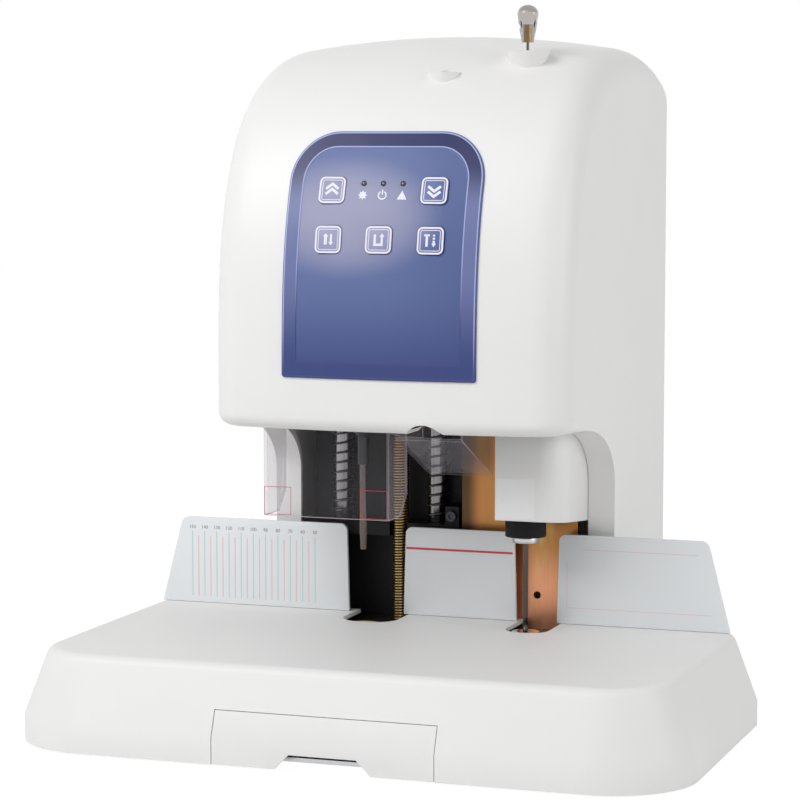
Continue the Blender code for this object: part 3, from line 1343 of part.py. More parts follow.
def make_rivet_station():
    axis = (RIVET_X, TOOL_Y)
    origin = (RIVET_X, TOOL_Y, DIE_Z)
    bore = NEEDLE_RADIUS + BORE_GAP
    drive_y = FENCE_Y + RIVET_DRIVE_SETBACK
    insulator_z = DIE_Z + DIE_HEIGHT + CLEAR
    heater_z = insulator_z + INSULATOR_HEIGHT + CLEAR
    profile = ring_profile(DIE_RADIUS, bore, DIE_Z, DIE_Z + DIE_HEIGHT)
    turned("rivet_die", profile, *axis, "bright_steel", DIE_Z)
    profile = ring_profile(INSULATOR_RADIUS, bore, insulator_z, insulator_z + INSULATOR_HEIGHT)
    turned("rivet_insulator", profile, *axis, "black_plastic", DIE_Z)
    low = (RIVET_X - HEATER_HALF, TOOL_Y - HEATER_HALF, heater_z)
    high = (RIVET_X + HEATER_HALF, TOOL_Y + HEATER_HALF, heater_z + HEATER_HEIGHT)
    heater = box("heater_block", low, high, "aluminium", origin)
    top = SLIDE_Z - CLEAR
    cut_rod(
        heater, (*axis, heater_z + HEATER_HEIGHT / 2), (*axis, top), HEATER_SHAFT_RADIUS, operation="UNION",
    )
    cut_rod(heater, (*axis, heater_z - OVERRUN), (*axis, top + OVERRUN), bore)
    slide_top = SLIDE_Z + SLIDE_THICK
    rear = drive_y + RIVET_ROD_RADIUS + CHUCK_SHAFT_RADIUS
    slide = box(
        "rivet_slide", (RIVET_X - SLIDE_HALF, TOOL_Y - SLIDE_FRONT, SLIDE_Z),
        (RIVET_X + SLIDE_HALF, rear, slide_top), "aluminium", origin,
    )
    low_z, high_z = SLIDE_Z - OVERRUN, slide_top + OVERRUN
    cut_rod(slide, (*axis, low_z), (*axis, high_z), bore)
    cut_rod(slide, (RIVET_X, drive_y, low_z), (RIVET_X, drive_y, high_z), RIVET_SCREW_RADIUS + SLIDE_GAP)
    shelf_top = SHELF_Z + SHELF_THICK
    for side, word in ((-1, "left"), (1, "right")):
        x = RIVET_X + side * RIVET_ROD_SPREAD
        cut_rod(slide, (x, drive_y, low_z), (x, drive_y, high_z), RIVET_ROD_RADIUS + SLIDE_GAP)
        start, end = (x, drive_y, shelf_top + CLEAR), (x, drive_y, TOP_PLATE_Z - CLEAR)
        rod("rivet_rod_" + word, start, end, RIVET_ROD_RADIUS, "bright_steel", sides=SMALL_SIDES)
    motor_foot = TOP_PLATE_Z - CLEAR - RIVET_MOTOR_HEIGHT
    screw_foot = shelf_top - SHELF_THICK / 2 + CLEAR
    rod(
        "rivet_screw", (RIVET_X, drive_y, screw_foot), (RIVET_X, drive_y, motor_foot - CLEAR),
        RIVET_SCREW_RADIUS, "bright_steel", (RIVET_X, drive_y, screw_foot),
    )
    rod(
        "rivet_motor", (RIVET_X, drive_y, motor_foot), (RIVET_X, drive_y, TOP_PLATE_Z - CLEAR),
        RIVET_MOTOR_RADIUS, "motor_grey", sides=LARGE_SIDES,
    )


def cover_path(inset):
    """Plan line of the cover from its front left edge round to its rear edge."""
    right = WING_INNER_HALF - CLEAR - inset
    front = COVER_FRONT_Y + inset
    radius = COVER_RADIUS - inset
    corner = arc((right - radius, front + radius), radius, 270, 360, 6)
    return [(COVER_LEFT_X, front)] + corner + [(right, COVER_REAR_Y)]


def make_rivet_cover():
    """White cover round the front and right of the rivet head, with a lower edge that falls to the rear."""
    outline = cover_path(0) + list(reversed(cover_path(COVER_WALL)))
    foot = COVER_BOTTOM_Z - COVER_DROP - OVERRUN
    cover = slab("rivet_head_cover", outline, foot, COVER_TOP_Z, "white_abs")
    front, rear = COVER_FRONT_Y - OVERRUN, COVER_REAR_Y + OVERRUN
    below = foot - OVERRUN
    wedge = [(front, below), (rear, below), (rear, COVER_BOTTOM_Z - COVER_DROP), (front, COVER_BOTTOM_Z)]
    cut_slab(cover, wedge, COVER_LEFT_X - OVERRUN, WING_INNER_HALF + OVERRUN, side_place)


def make_needle():
    """Guide needle with its clear knob, which is pulled up out of the paper's way."""
    axis = (RIVET_X, TOOL_Y)
    turned("guide_needle", [
        (0, INSERT_TOP_Z), (INSERT_RADIUS, INSERT_TOP_Z), (INSERT_RADIUS, KNOB_FOOT_Z),
        (NEEDLE_ROD_RADIUS, KNOB_FOOT_Z), (NEEDLE_ROD_RADIUS, NEEDLE_SHOULDER_Z),
        (NEEDLE_RADIUS, NEEDLE_SHOULDER_Z - NEEDLE_RADIUS), (NEEDLE_RADIUS, NEEDLE_FOOT_Z + NEEDLE_RADIUS),
        (NEEDLE_ROD_RADIUS, NEEDLE_FOOT_Z), (0, NEEDLE_FOOT_Z),
    ], *axis, "bright_steel", NEEDLE_FOOT_Z, SMALL_SIDES)
    socket = INSERT_RADIUS + CLEAR
    dome = arc((0, KNOB_SHOULDER_Z), KNOB_RADIUS, 90, 0, 3)
    squash = (KNOB_TOP_Z - KNOB_SHOULDER_Z) / KNOB_RADIUS
    profile = [(abs(r), KNOB_SHOULDER_Z + (z - KNOB_SHOULDER_Z) * squash) for r, z in dome]
    profile[0] = (0, KNOB_TOP_Z)
    profile += [
        (KNOB_FOOT_RADIUS, KNOB_FOOT_Z), (socket, KNOB_FOOT_Z), (socket, INSERT_TOP_Z + CLEAR),
        (0, INSERT_TOP_Z + CLEAR),
    ]
    knob = turned("needle_knob", profile, *axis, "clear", NEEDLE_FOOT_Z, SMALL_SIDES)
    knob.modifiers["turn"].use_smooth_shade = False
    bore = NEEDLE_ROD_RADIUS + SLIDE_GAP
    profile = ring_profile(BUSH_RADIUS, bore, BOSS_TOP_Z - BUSH_LENGTH, BOSS_TOP_Z)
    turned("needle_bush", profile, *axis, "black_plastic", BOSS_TOP_Z, SMALL_SIDES)


# Nylon tube feed

def make_tube_feed():
    """Pipe from the port on the head down to the cutter above the tray."""
    high = TOP_PLATE_Z + TOP_PLATE_THICK + CLEAR
    flange_top = high + PIPE_FLANGE_THICK
    turned("tube_guide", [
        (PIPE_FLANGE_RADIUS, flange_top), (PIPE_FLANGE_RADIUS, high), (TUBE_PIPE_RADIUS, high),
        (TUBE_PIPE_RADIUS, PIPE_FOOT_Z), (TUBE_BORE_RADIUS, PIPE_FOOT_Z), (TUBE_BORE_RADIUS, flange_top),
    ], TUBE_X, PORT_Y, "aluminium")
    pin_x = TUBE_X + CUTTER_PIN_OFFSET
    low, top = CUTTER_BRIDGE_Z, CUTTER_BRIDGE_Z + CUTTER_BRIDGE_THICK
    half = CUTTER_BRIDGE_HALF
    guide = bpy.data.objects["tube_guide"]
    left = TUBE_X + TUBE_BORE_RADIUS + CLEAR
    cut_box(guide, (left, PORT_Y - half, low), (pin_x + half, PORT_Y + half, top), "UNION")
    arm_top = PIPE_FOOT_Z - CLEAR
    arm_low = arm_top - CUTTER_ARM_THICK
    head_top = arm_low - CLEAR
    pin_low = (pin_x, PORT_Y, head_top - CLEAR)
    cut_rod(guide, pin_low, (pin_x, PORT_Y, top - half / 2), CUTTER_PIN_RADIUS, SMALL_SIDES, "UNION")
    head_low = (pin_x, PORT_Y, head_top - CUTTER_ARM_THICK)
    cut_rod(guide, head_low, (pin_x, PORT_Y, head_top), CUTTER_HEAD_RADIUS, SMALL_SIDES, "UNION")
    half = CUTTER_ARM_HALF
    reach = CUTTER_PIN_OFFSET + 2 * half
    blade = arc((0, 0), half, -90, 90, 6) + [(half - reach, half), (-reach, -half)]
    turn = Matrix.Rotation(CUTTER_REST, 2)
    outline = [(pin_x + spot.x, PORT_Y + spot.y) for spot in (turn @ Vector(point) for point in blade)]
    origin = (pin_x, PORT_Y, arm_low)
    arm = slab("cutter_arm", outline, arm_low, arm_top, "bright_steel", origin=origin)
    start, end = (pin_x, PORT_Y, arm_low - OVERRUN), (pin_x, PORT_Y, arm_top + OVERRUN)
    cut_rod(arm, start, end, CUTTER_PIN_RADIUS + CLEAR, SMALL_SIDES)


# Clear pieces

def lip_z():
    return HEAD_BOTTOM_Z + HOUSING_WALL + CLEAR


def lip_front():
    return HEAD_FRONT_Y + MOUTH_SETBACK - LIP_OVERLAP


def make_guard():
    """Clear guard round the drill, open behind, hung by a flange on the head's floor."""
    left, right = GUARD_LEFT_X, GUARD_LEFT_X + GUARD_WIDTH
    front, rear = GUARD_FRONT_Y, GUARD_FRONT_Y + GUARD_DEPTH
    wall = GUARD_WALL
    outline = [
        (left, rear), (left, front), (right, front), (right, rear), (right - wall, rear),
        (right - wall, front + wall), (left + wall, front + wall), (left + wall, rear),
    ]
    guard = slab("safety_guard", outline, GUARD_BOTTOM_Z, lip_z() + wall, "clear")
    cut_box(guard, (left, lip_front(), lip_z()), (right, front + wall / 2, lip_z() + wall), "UNION")
    corner = [
        (rear - GUARD_CHAMFER, GUARD_BOTTOM_Z - OVERRUN), (rear + OVERRUN, GUARD_BOTTOM_Z - OVERRUN),
        (rear + OVERRUN, GUARD_BOTTOM_Z + GUARD_CHAMFER + OVERRUN),
    ]
    cut_slab(guard, corner, left - OVERRUN, right + OVERRUN, side_place)


def tray_section(inset):
    """Side outline of the tray: the floor falls to the rear, and the walls end level with the flange."""
    top = lip_z() + TRAY_WALL if inset == 0 else lip_z() + TRAY_WALL + OVERRUN
    front, rear = TRAY_FRONT_Y + inset, TRAY_REAR_Y - inset
    return [
        (front, TRAY_FRONT_Z + inset), (rear, TRAY_REAR_Z + inset), (rear, TRAY_REAR_Z + TRAY_BACK_HEIGHT),
        (rear, top), (front, top),
    ]


def make_tray():
    left, right = TRAY_LEFT_X, TRAY_LEFT_X + TRAY_WIDTH
    wall = TRAY_WALL
    tray = slab("tube_tray", tray_section(0), left, right, "clear", side_place)
    cut_slab(tray, tray_section(wall), left + wall, right - wall, side_place)
    low = (left, lip_front(), lip_z())
    cut_box(tray, low, (right, TRAY_FRONT_Y + wall / 2, lip_z() + wall), "UNION")
    half = FINGER_RADIUS - TRAY_WALL
    cut_box(
        tray, (FINGER_X - half, lip_front() - OVERRUN, TRAY_FRONT_Z + wall),
        (FINGER_X + half, TRAY_FRONT_Y + wall + OVERRUN, lip_z() + wall + OVERRUN),
    )


# Electrics and the clamp bolt

def make_electrics():
    foot = CHASSIS_Z + CHASSIS_THICK + CLEAR
    box(
        "power_supply", (SUPPLY_LEFT_X, SUPPLY_FRONT_Y, foot),
        (SUPPLY_LEFT_X + SUPPLY_WIDTH, SUPPLY_FRONT_Y + SUPPLY_DEPTH, foot + SUPPLY_HEIGHT), "aluminium",
    )
    top = BOARD_FOOT_Z + BOARD_HEIGHT
    face = BOARD_Y + BOARD_THICK
    core = BOARD_Y + BOARD_THICK / 2
    board = box("main_board", (-BOARD_HALF, BOARD_Y, BOARD_FOOT_Z), (BOARD_HALF, face, top), "board_green")
    rear = REAR_Y - REAR_COVER_INSET - REAR_COVER_THICK - CLEAR
    for side in (-1, 1):
        for z in (BOARD_FOOT_Z + STANDOFF_INSET, top - STANDOFF_INSET):
            x = side * (BOARD_HALF - STANDOFF_INSET)
            cut_rod(board, (x, core, z), (x, rear, z), STANDOFF_RADIUS, SMALL_SIDES, "UNION")
    relay = STANDOFF_INSET
    can_z = top - 3 * relay
    for column in (-1, 0, 1):
        x = column * 3 * relay
        low = (x - relay, BOARD_Y - 2 * relay, BOARD_FOOT_Z + 2 * relay)
        cut_box(board, low, (x + relay, core, BOARD_FOOT_Z + 5 * relay), "UNION")
        cut_rod(board, (x, core, can_z), (x, BOARD_Y - 3 * relay, can_z), relay, SMALL_SIDES, "UNION")


def make_bolt():
    """Socket bolt that clamps the lug of the cross plate."""
    x = BACK_PLATE_RIGHT_X - LUG_WIDTH / 2
    z = CROSS_PLATE_Z + CROSS_PLATE_THICK + LUG_HEIGHT / 2
    front = FENCE_Y + CROSS_PLATE_SETBACK - CLEAR
    bolt = rod("clamp_bolt", (x, front, z), (x, front - BOLT_HEAD, z), BOLT_RADIUS, "bright_steel")
    cut_rod(bolt, (x, front - BOLT_HEAD - OVERRUN, z), (x, front - BOLT_HEAD / 2, z), BOLT_SOCKET_RADIUS, 6)


def main():
    make_base_shell()
    make_paper_bin()
    make_fence()
    make_chassis()
    make_housing_shell()
    make_control_panel()
    make_buttons()
    make_rear_cover()
    make_frame()
    make_posts()
    make_carriage()
    make_drill()
    make_press_drive()
    make_rivet_station()
    make_rivet_cover()
    make_needle()
    make_tube_feed()
    make_guard()
    make_tray()
    make_electrics()
    make_bolt()


main()
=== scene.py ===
"""Looks of the document riveting machine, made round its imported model.

The head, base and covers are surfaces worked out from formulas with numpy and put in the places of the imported
solids. Lengths are in metres, +Z is up and the front faces -Y.
"""

import math

import bmesh
import bpy
import numpy as np
from bpy.props import FloatProperty, FloatVectorProperty, IntProperty, PointerProperty
from mathutils import Matrix, Vector


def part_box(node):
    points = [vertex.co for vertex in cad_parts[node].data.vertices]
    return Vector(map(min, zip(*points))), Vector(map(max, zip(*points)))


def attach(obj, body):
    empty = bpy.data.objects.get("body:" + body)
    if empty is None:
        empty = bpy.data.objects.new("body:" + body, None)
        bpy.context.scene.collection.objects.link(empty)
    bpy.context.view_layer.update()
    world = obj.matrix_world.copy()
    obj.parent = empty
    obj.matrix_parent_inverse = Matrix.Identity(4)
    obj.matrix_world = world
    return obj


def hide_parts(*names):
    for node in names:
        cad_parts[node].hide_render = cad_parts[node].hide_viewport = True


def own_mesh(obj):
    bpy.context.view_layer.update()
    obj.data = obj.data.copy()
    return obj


bl_info = {
    "name": "Document riveting machine",
    "version": (1, 0, 0),
    "blender": (4, 5, 0),
    "location": "3D View > Sidebar > Riveter",
    "description": "Builds the surfaces, finishes and studio of a desk machine that drills and rivets paper",
    "category": "Add Mesh",
}

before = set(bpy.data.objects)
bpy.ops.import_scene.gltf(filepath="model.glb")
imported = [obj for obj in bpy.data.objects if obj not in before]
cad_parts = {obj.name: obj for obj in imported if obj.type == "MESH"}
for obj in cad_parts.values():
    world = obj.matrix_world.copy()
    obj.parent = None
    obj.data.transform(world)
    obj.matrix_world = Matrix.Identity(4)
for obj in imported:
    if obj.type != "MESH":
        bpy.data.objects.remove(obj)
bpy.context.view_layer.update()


def stand(node):
    """An upright round solid's axis in x and y, its radius, its foot and its top."""
    low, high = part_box(node)
    return (low.x + high.x) / 2, (low.y + high.y) / 2, (high.x - low.x) / 2, low.z, high.z


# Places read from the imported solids
HEAD_LOW, HEAD_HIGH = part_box("housing_shell")
BASE_LOW, BASE_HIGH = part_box("base_shell")
BIN_LOW, BIN_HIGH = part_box("paper_bin")
FENCE_LOW, FENCE_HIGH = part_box("fence_left")
HEAD_FRONT_Y, REAR_Y = HEAD_LOW.y, HEAD_HIGH.y
HOUSING_HALF, BASE_HALF = HEAD_HIGH.x, BASE_HIGH.x
CREST_Z, PLATFORM_Z, FOOT_Z = HEAD_HIGH.z, BASE_HIGH.z, HEAD_LOW.z
FRONT_Y, FENCE_Y = BASE_LOW.y, FENCE_LOW.y
DRILL_X, TOOL_Y = stand("drill_bit")[:2]
RIVET_X = stand("rivet_die")[0]
DRILL_AXIS, RIVET_AXIS, TUBE_AXIS = (DRILL_X, TOOL_Y), (RIVET_X, TOOL_Y), (0.0243, -0.0147)
SCREW_AXIS = stand("lead_screw")[:2]
RIVET_DRIVE = (RIVET_X, stand("rivet_screw")[1])

# Sizes of the shells that their boxes don't give
CLEAR, OVERRUN, WALL = 0.0003, 0.002, 0.003
BROW_Z, BROW_POWER = 0.249, 2.75
CREST_Y, REAR_RUN = FENCE_Y + 0.0738, 0.1794
CROWN, EDGE_FILLET = 0.0076, 0.0287
HEAD_FOOT_RADIUS, HEAD_BOTTOM_Z = 0.010, 0.2165
COLUMN_FRONT_Y = FENCE_Y + 0.0126
ARCH_DEPTH, ARCH_HEIGHT = 0.082, 0.045
WING_INNER_HALF, MOUTH_SETBACK = 0.1124, 0.0343
FINGER_X, FINGER_RADIUS, FINGER_RISE = 0.0319, 0.016, 0.007
BASE_REAR_Y = FENCE_Y + 0.004
BASE_FLARE, BAND_HEIGHT, BASE_LEAN = 0.0205, 0.018, math.radians(20.7)
EDGE_RADIUS, PLAN_RADIUS, LEDGE_DROP = 0.0085, 0.040, 0.0002
PORT_TOP_Z, SPOUT_FOOT_RADIUS = 0.467, 0.0048
SCREW_RADIUS, RIVET_SCREW_RADIUS = 0.0062, 0.004

# Control panel
PANEL_X, PANEL_HALF, PANEL_LOW_Z, PANEL_HIGH_Z = -0.0010, 0.0715, 0.254, 0.425
PANEL_PROUD = 0.0015
KEY_SIDE, KEY_THICK, KEY_PROUD, KEY_PITCH = 0.0195, 0.0040, 0.0007, 0.0375
KEY_GAP, KEY_HOLE_TOP = 0.0004, 0.0085
UPPER_ROW_Z, LOWER_ROW_Z = 0.3845, 0.3505
LAMP_PITCH, LAMP_RISE = 0.0144, 0.0045
KEYS = {
    "up_button": (PANEL_X - KEY_PITCH, UPPER_ROW_Z),
    "down_button": (PANEL_X + KEY_PITCH, UPPER_ROW_Z),
    "drill_button": (PANEL_X - KEY_PITCH, LOWER_ROW_Z),
    "reset_button": (PANEL_X, LOWER_ROW_Z),
    "rivet_button": (PANEL_X + KEY_PITCH, LOWER_ROW_Z),
}
TURN = 2 * math.pi


# Settings that a user would change

def shade(name, description, default):
    """A setting that is a colour."""
    return FloatVectorProperty(
        name=name, description=description, subtype="COLOR", size=3, min=0, max=1, default=default)


def length(name, description, default, precision=2):
    """A setting that is a length in metres, shown with this many decimals."""
    return FloatProperty(
        name=name, description=description, subtype="DISTANCE", unit="LENGTH", precision=precision, default=default)


def number(name, description, default, subtype="NONE"):
    """A setting that is a plain number or an angle."""
    return FloatProperty(name=name, description=description, subtype=subtype, default=default)


class ShellSettings(bpy.types.PropertyGroup):
    colour: shade("Shell colour", "Moulded shells of head and base", (0.83, 0.825, 0.82))
    grain: length("Grain", "Depth of the moulded grain", 0.00002, 6)
    corner_steps: IntProperty(
        name="Corner steps", description="How finely the shells' round edges are divided", default=12, min=3)


class PanelSettings(bpy.types.PropertyGroup):
    # The light colour is a painted sheen left of the middle; the top colour darkens to the foot colour as painted
    # shade.
    light_colour: shade("Light colour", "Film colour left of the panel's middle", (0.320, 0.326, 0.476))
    top_colour: shade("Top colour", "Film colour at the panel's upper part", (0.112, 0.154, 0.340))
    foot_colour: shade("Foot colour", "Film colour at the panel's lower edge", (0.043, 0.064, 0.205))
    # The rim colour is a painted sheen on the rim's sides.
    rim_colour: shade("Rim colour", "Film colour of the raised rim", (0.150, 0.180, 0.370))
    rim: length("Rim width", "Width of the raised rim", 0.0095)
    # The line width is that of the painted highlights along the rim's edges.
    line: length("Line width", "Width of the light lines along the rim", 0.0008, 5)


class MetalSettings(bpy.types.PropertyGroup):
    steel: shade("Steel", "Bright steel", (0.56, 0.56, 0.57))
    brass: shade("Brass", "Lead screw and nut", (0.62, 0.46, 0.22))
    zinc: shade("Zinc", "Yellow zinc plating", (0.42, 0.187, 0.056))
    thread_pitch: length("Thread pitch", "Pitch of the lead screw", 0.0021, 5)


class StageSettings(bpy.types.PropertyGroup):
    camera_place: FloatVectorProperty(
        name="Camera", description="Where the camera stands", subtype="TRANSLATION", size=3,
        default=(0.6432, -1.8804, 0.4230))
    camera_turn: number("Turn", "Camera's turn to the left", math.radians(19.28), "ANGLE")
    camera_tilt: number("Tilt", "Camera's tilt from level", math.radians(-5.48), "ANGLE")
    lens: number("Lens", "Focal length in millimetres", 124.4)
    key_power: number("Key light", "Power of the key light in watts", 28.5)
    fill_power: number("Fill light", "Power of the fill light in watts", 13.5)
    front_power: number("Front light", "Power of the front light in watts", 7.0)
    sky: number("Sky", "Strength of the even light round the machine", 0.36)


# Shader maths

class Signal:
    """A shader node's output, with the arithmetic operators adding Math nodes behind it."""

    def __init__(self, finish, socket):
        self.finish = finish
        self.socket = socket

    def math(self, operation, *values):
        return self.finish.node("ShaderNodeMath", {"operation": operation}, dict(enumerate(values)))

    def __add__(self, other):
        return self.math("ADD", self, other)

    def __sub__(self, other):
        return self.math("SUBTRACT", self, other)

    def __rsub__(self, other):
        return self.math("SUBTRACT", other, self)

    def __mul__(self, other):
        return self.math("MULTIPLY", self, other)

    def __truediv__(self, other):
        return self.math("DIVIDE", self, other)

    def __pow__(self, other):
        return self.math("POWER", self, other)

    def ramp(self, low, high):
        """0 at low, 1 at high, and a smooth step between them."""
        return self.finish.node(
            "ShaderNodeMapRange", {"interpolation_type": "SMOOTHSTEP"}, {0: self, 1: low, 2: high, 3: 0.0, 4: 1.0})


class Finish:
    """A Principled material whose varying sockets are fed by signals."""

    def __init__(self, name, colour, roughness, metallic=0.0, coat=0.0, transmission=0.0, ior=1.5, specular=0.5):
        self.material = bpy.data.materials.new(name)
        self.material.use_nodes = True
        self.tree = self.material.node_tree
        self.shader = self.tree.nodes["Principled BSDF"]
        self.solid = Signal(self, self.shader.outputs[0])
        self.colour, self.roughness = (*colour, 1.0), roughness
        for socket, value in {
            "Base Color": self.colour, "Roughness": roughness, "Metallic": metallic, "Coat Weight": coat,
            "Transmission Weight": transmission, "IOR": ior, "Specular IOR Level": specular,
        }.items():
            self.shader.inputs[socket].default_value = value

    def node(self, kind, settings, inputs, output=0):
        made = self.tree.nodes.new(kind)
        for key, value in settings.items():
            setattr(made, key, value)
        for key, value in inputs.items():
            if isinstance(value, Signal):
                self.tree.links.new(value.socket, made.inputs[key])
            else:
                made.inputs[key].default_value = value
        return Signal(self, made.outputs[output])

    def feed(self, socket, signal):
        self.tree.links.new(signal.socket, self.shader.inputs[socket])
        return self

    def surface(self, share, first, second):
        """Put a mix of two shaders on the material's output."""
        mixed = self.node("ShaderNodeMixShader", {}, {0: share, 1: first, 2: second})
        self.tree.links.new(mixed.socket, self.tree.nodes["Material Output"].inputs["Surface"])
        return self

    def place(self, centre=(0, 0, 0), stretch=(1, 1, 1)):
        """Object coordinates measured from a centre, then stretched."""
        spot = self.node("ShaderNodeTexCoord", {}, {}, "Object")
        moved = self.node("ShaderNodeVectorMath", {"operation": "SUBTRACT"}, {0: spot, 1: centre})
        return self.node("ShaderNodeVectorMath", {"operation": "MULTIPLY"}, {0: moved, 1: stretch})

    def axis(self, letter, centre=(0, 0, 0)):
        return self.node("ShaderNodeSeparateXYZ", {}, {0: self.place(centre)}, "XYZ".index(letter))

    def noise(self, scale, detail=2.0, stretch=(1, 1, 1)):
        return self.node(
            "ShaderNodeTexNoise", {}, {"Vector": self.place(stretch=stretch), "Scale": scale, "Detail": detail})

    def mix(self, share, first, second):
        first, second = (end if isinstance(end, Signal) else (*end[:3], 1.0) for end in (first, second))
        return self.node("ShaderNodeMix", {"data_type": "RGBA"}, {0: share, 6: first, 7: second}, 2)

    def bump(self, height, distance):
        return self.feed("Normal", self.node("ShaderNodeBump", {}, {"Height": height, "Distance": distance}))

    def mottle(self, scale, amount, detail=2.0, stretch=(1, 1, 1)):
        """Colour that drifts by a share of itself, with the roughness drifting along."""
        wave = self.noise(scale, detail, stretch)
        dark = tuple(c * (1 - amount) for c in self.colour[:3])
        light = tuple(min(1, c * (1 + amount)) for c in self.colour[:3])
        self.feed("Base Color", self.mix(wave, dark, light))
        return self.feed("Roughness", wave * (self.roughness * amount * 2) + self.roughness * (1 - amount))


def shell_finish(name, colour, roughness, grain):
    """Moulded plastic: fine grain under a faint drift of colour."""
    made = Finish(name, colour, roughness).mottle(14.0, 0.02)
    return made.bump(made.noise(2600.0), grain)


def brushed_finish(name, colour, roughness, stretch, amount=0.16, relief=0.00001):
    """Ground metal: streaks along one direction."""
    made = Finish(name, colour, roughness, metallic=1.0).mottle(900.0, amount, 3.0, stretch)
    return made.bump(made.noise(1400.0, 2.0, stretch), relief)


def zinc_finish(colour):
    """Yellow zinc: gold that drifts to rose and olive in broad clouds, salmon and lighter at the foot, which is the
    plating's tint with painted light, and painted shade along the left.
    """
    made = Finish("zinc_yellow", colour, 0.34, metallic=1.0)
    clouds = made.noise(26.0, 3.0, (1, 1, 0.55))
    gold = made.mix(clouds.ramp(0.42, 0.62), colour, (0.46, 0.165, 0.068))
    olive = made.mix(made.noise(34.0, 3.0, (1.3, 1, 0.4)).ramp(0.52, 0.68), gold, (0.48, 0.36, 0.11))
    # Salmon and lighter towards the foot: the plating's rose tint with painted light.
    foot = made.mix(made.axis("Z").ramp(0.128, 0.088), olive, (0.86, 0.38, 0.21))
    streaks = made.noise(700.0, 2.0, (1, 1, 0.05))
    worn = made.mix(streaks * 0.30, foot, (0.36, 0.24, 0.12))
    # Painted shade: dark brown along the plate's left part.
    made.feed("Base Color", made.mix(made.axis("X").ramp(0.030, 0.018), worn, (0.10, 0.055, 0.03)))
    return made.feed("Roughness", streaks * 0.2 + 0.24)


def thread_finish(name, colour, axis, radius, depth):
    """Brass or steel thread: painted shade darkens the grooves, told by the distance from the axis."""
    made = Finish(name, colour, 0.3, metallic=1.0)
    across, along = (made.axis(letter, (*axis, 0)) for letter in "XY")
    distance = (across * across + along * along) ** 0.5
    crest = distance.ramp(radius - depth, radius - depth * 0.3)
    # Painted shade: near black in the grooves, the metal's colour on the crests.
    made.feed("Base Color", made.mix(crest, (0.03, 0.022, 0.012), colour))
    return made.feed("Roughness", 0.62 - crest * 0.34)


def clear_finish(name, tint, body, gloss):
    """Thin clear plastic: mostly see-through, with gloss that grows towards grazing views."""
    made = Finish(name, tint, gloss)
    glance = made.node("ShaderNodeLayerWeight", {}, {"Blend": 0.16}, "Fresnel")
    through = made.node("ShaderNodeBsdfTransparent", {}, {"Color": (0.985, 0.98, 0.985, 1.0)})
    return made.surface(glance * 0.22 + made.noise(60.0) * 0.012 + body, through, made.solid)


def panel_finish(name, light, top, foot):
    """Printed film with painted light: a painted sheen left of the middle, and painted shade that darkens the right
    side and most of all the foot.
    """
    made = Finish(name, top, 0.46, coat=0.04, specular=0.25)
    along = made.axis("X", (PANEL_X - 0.026, 0, 0)) / 0.075
    up = made.axis("Z", (0, 0, 0.366)) / 0.046
    sheen_patch = 1 - (along * along + up * up).ramp(0.0, 1.0)
    drift = made.noise(30.0) * 0.06 - 0.03
    # Painted shade: darker towards the foot and, by up to a third, towards the right side.
    height = made.axis("Z").ramp(0.245, 0.325) * (1 - made.axis("X").ramp(-0.010, 0.075) * 0.35)
    made.feed("Base Color", made.mix(sheen_patch, made.mix(height + drift, foot, top), light))
    made.feed("Roughness", made.noise(900.0) * 0.08 + 0.42)
    return made.bump(made.noise(2200.0), 0.000006)


def rim_finish(name, colour, foot, low, high, crest=None):
    """Film of the rim, whose colour is painted light: it fades into the foot colour, painted shade, on its way down and
    into the crest colour on its way up.
    """
    made = Finish(name, colour, 0.36, coat=0.05, specular=0.25)
    drift = made.noise(40.0) * 0.08 - 0.04
    sides = made.mix(made.axis("Z").ramp(low, high) + drift, foot, colour)
    made.feed("Base Color", made.mix(made.axis("Z").ramp(0.372, 0.404), sides, crest or colour))
    return made.feed("Roughness", made.noise(900.0) * 0.08 + 0.28)


FINISHES = {}


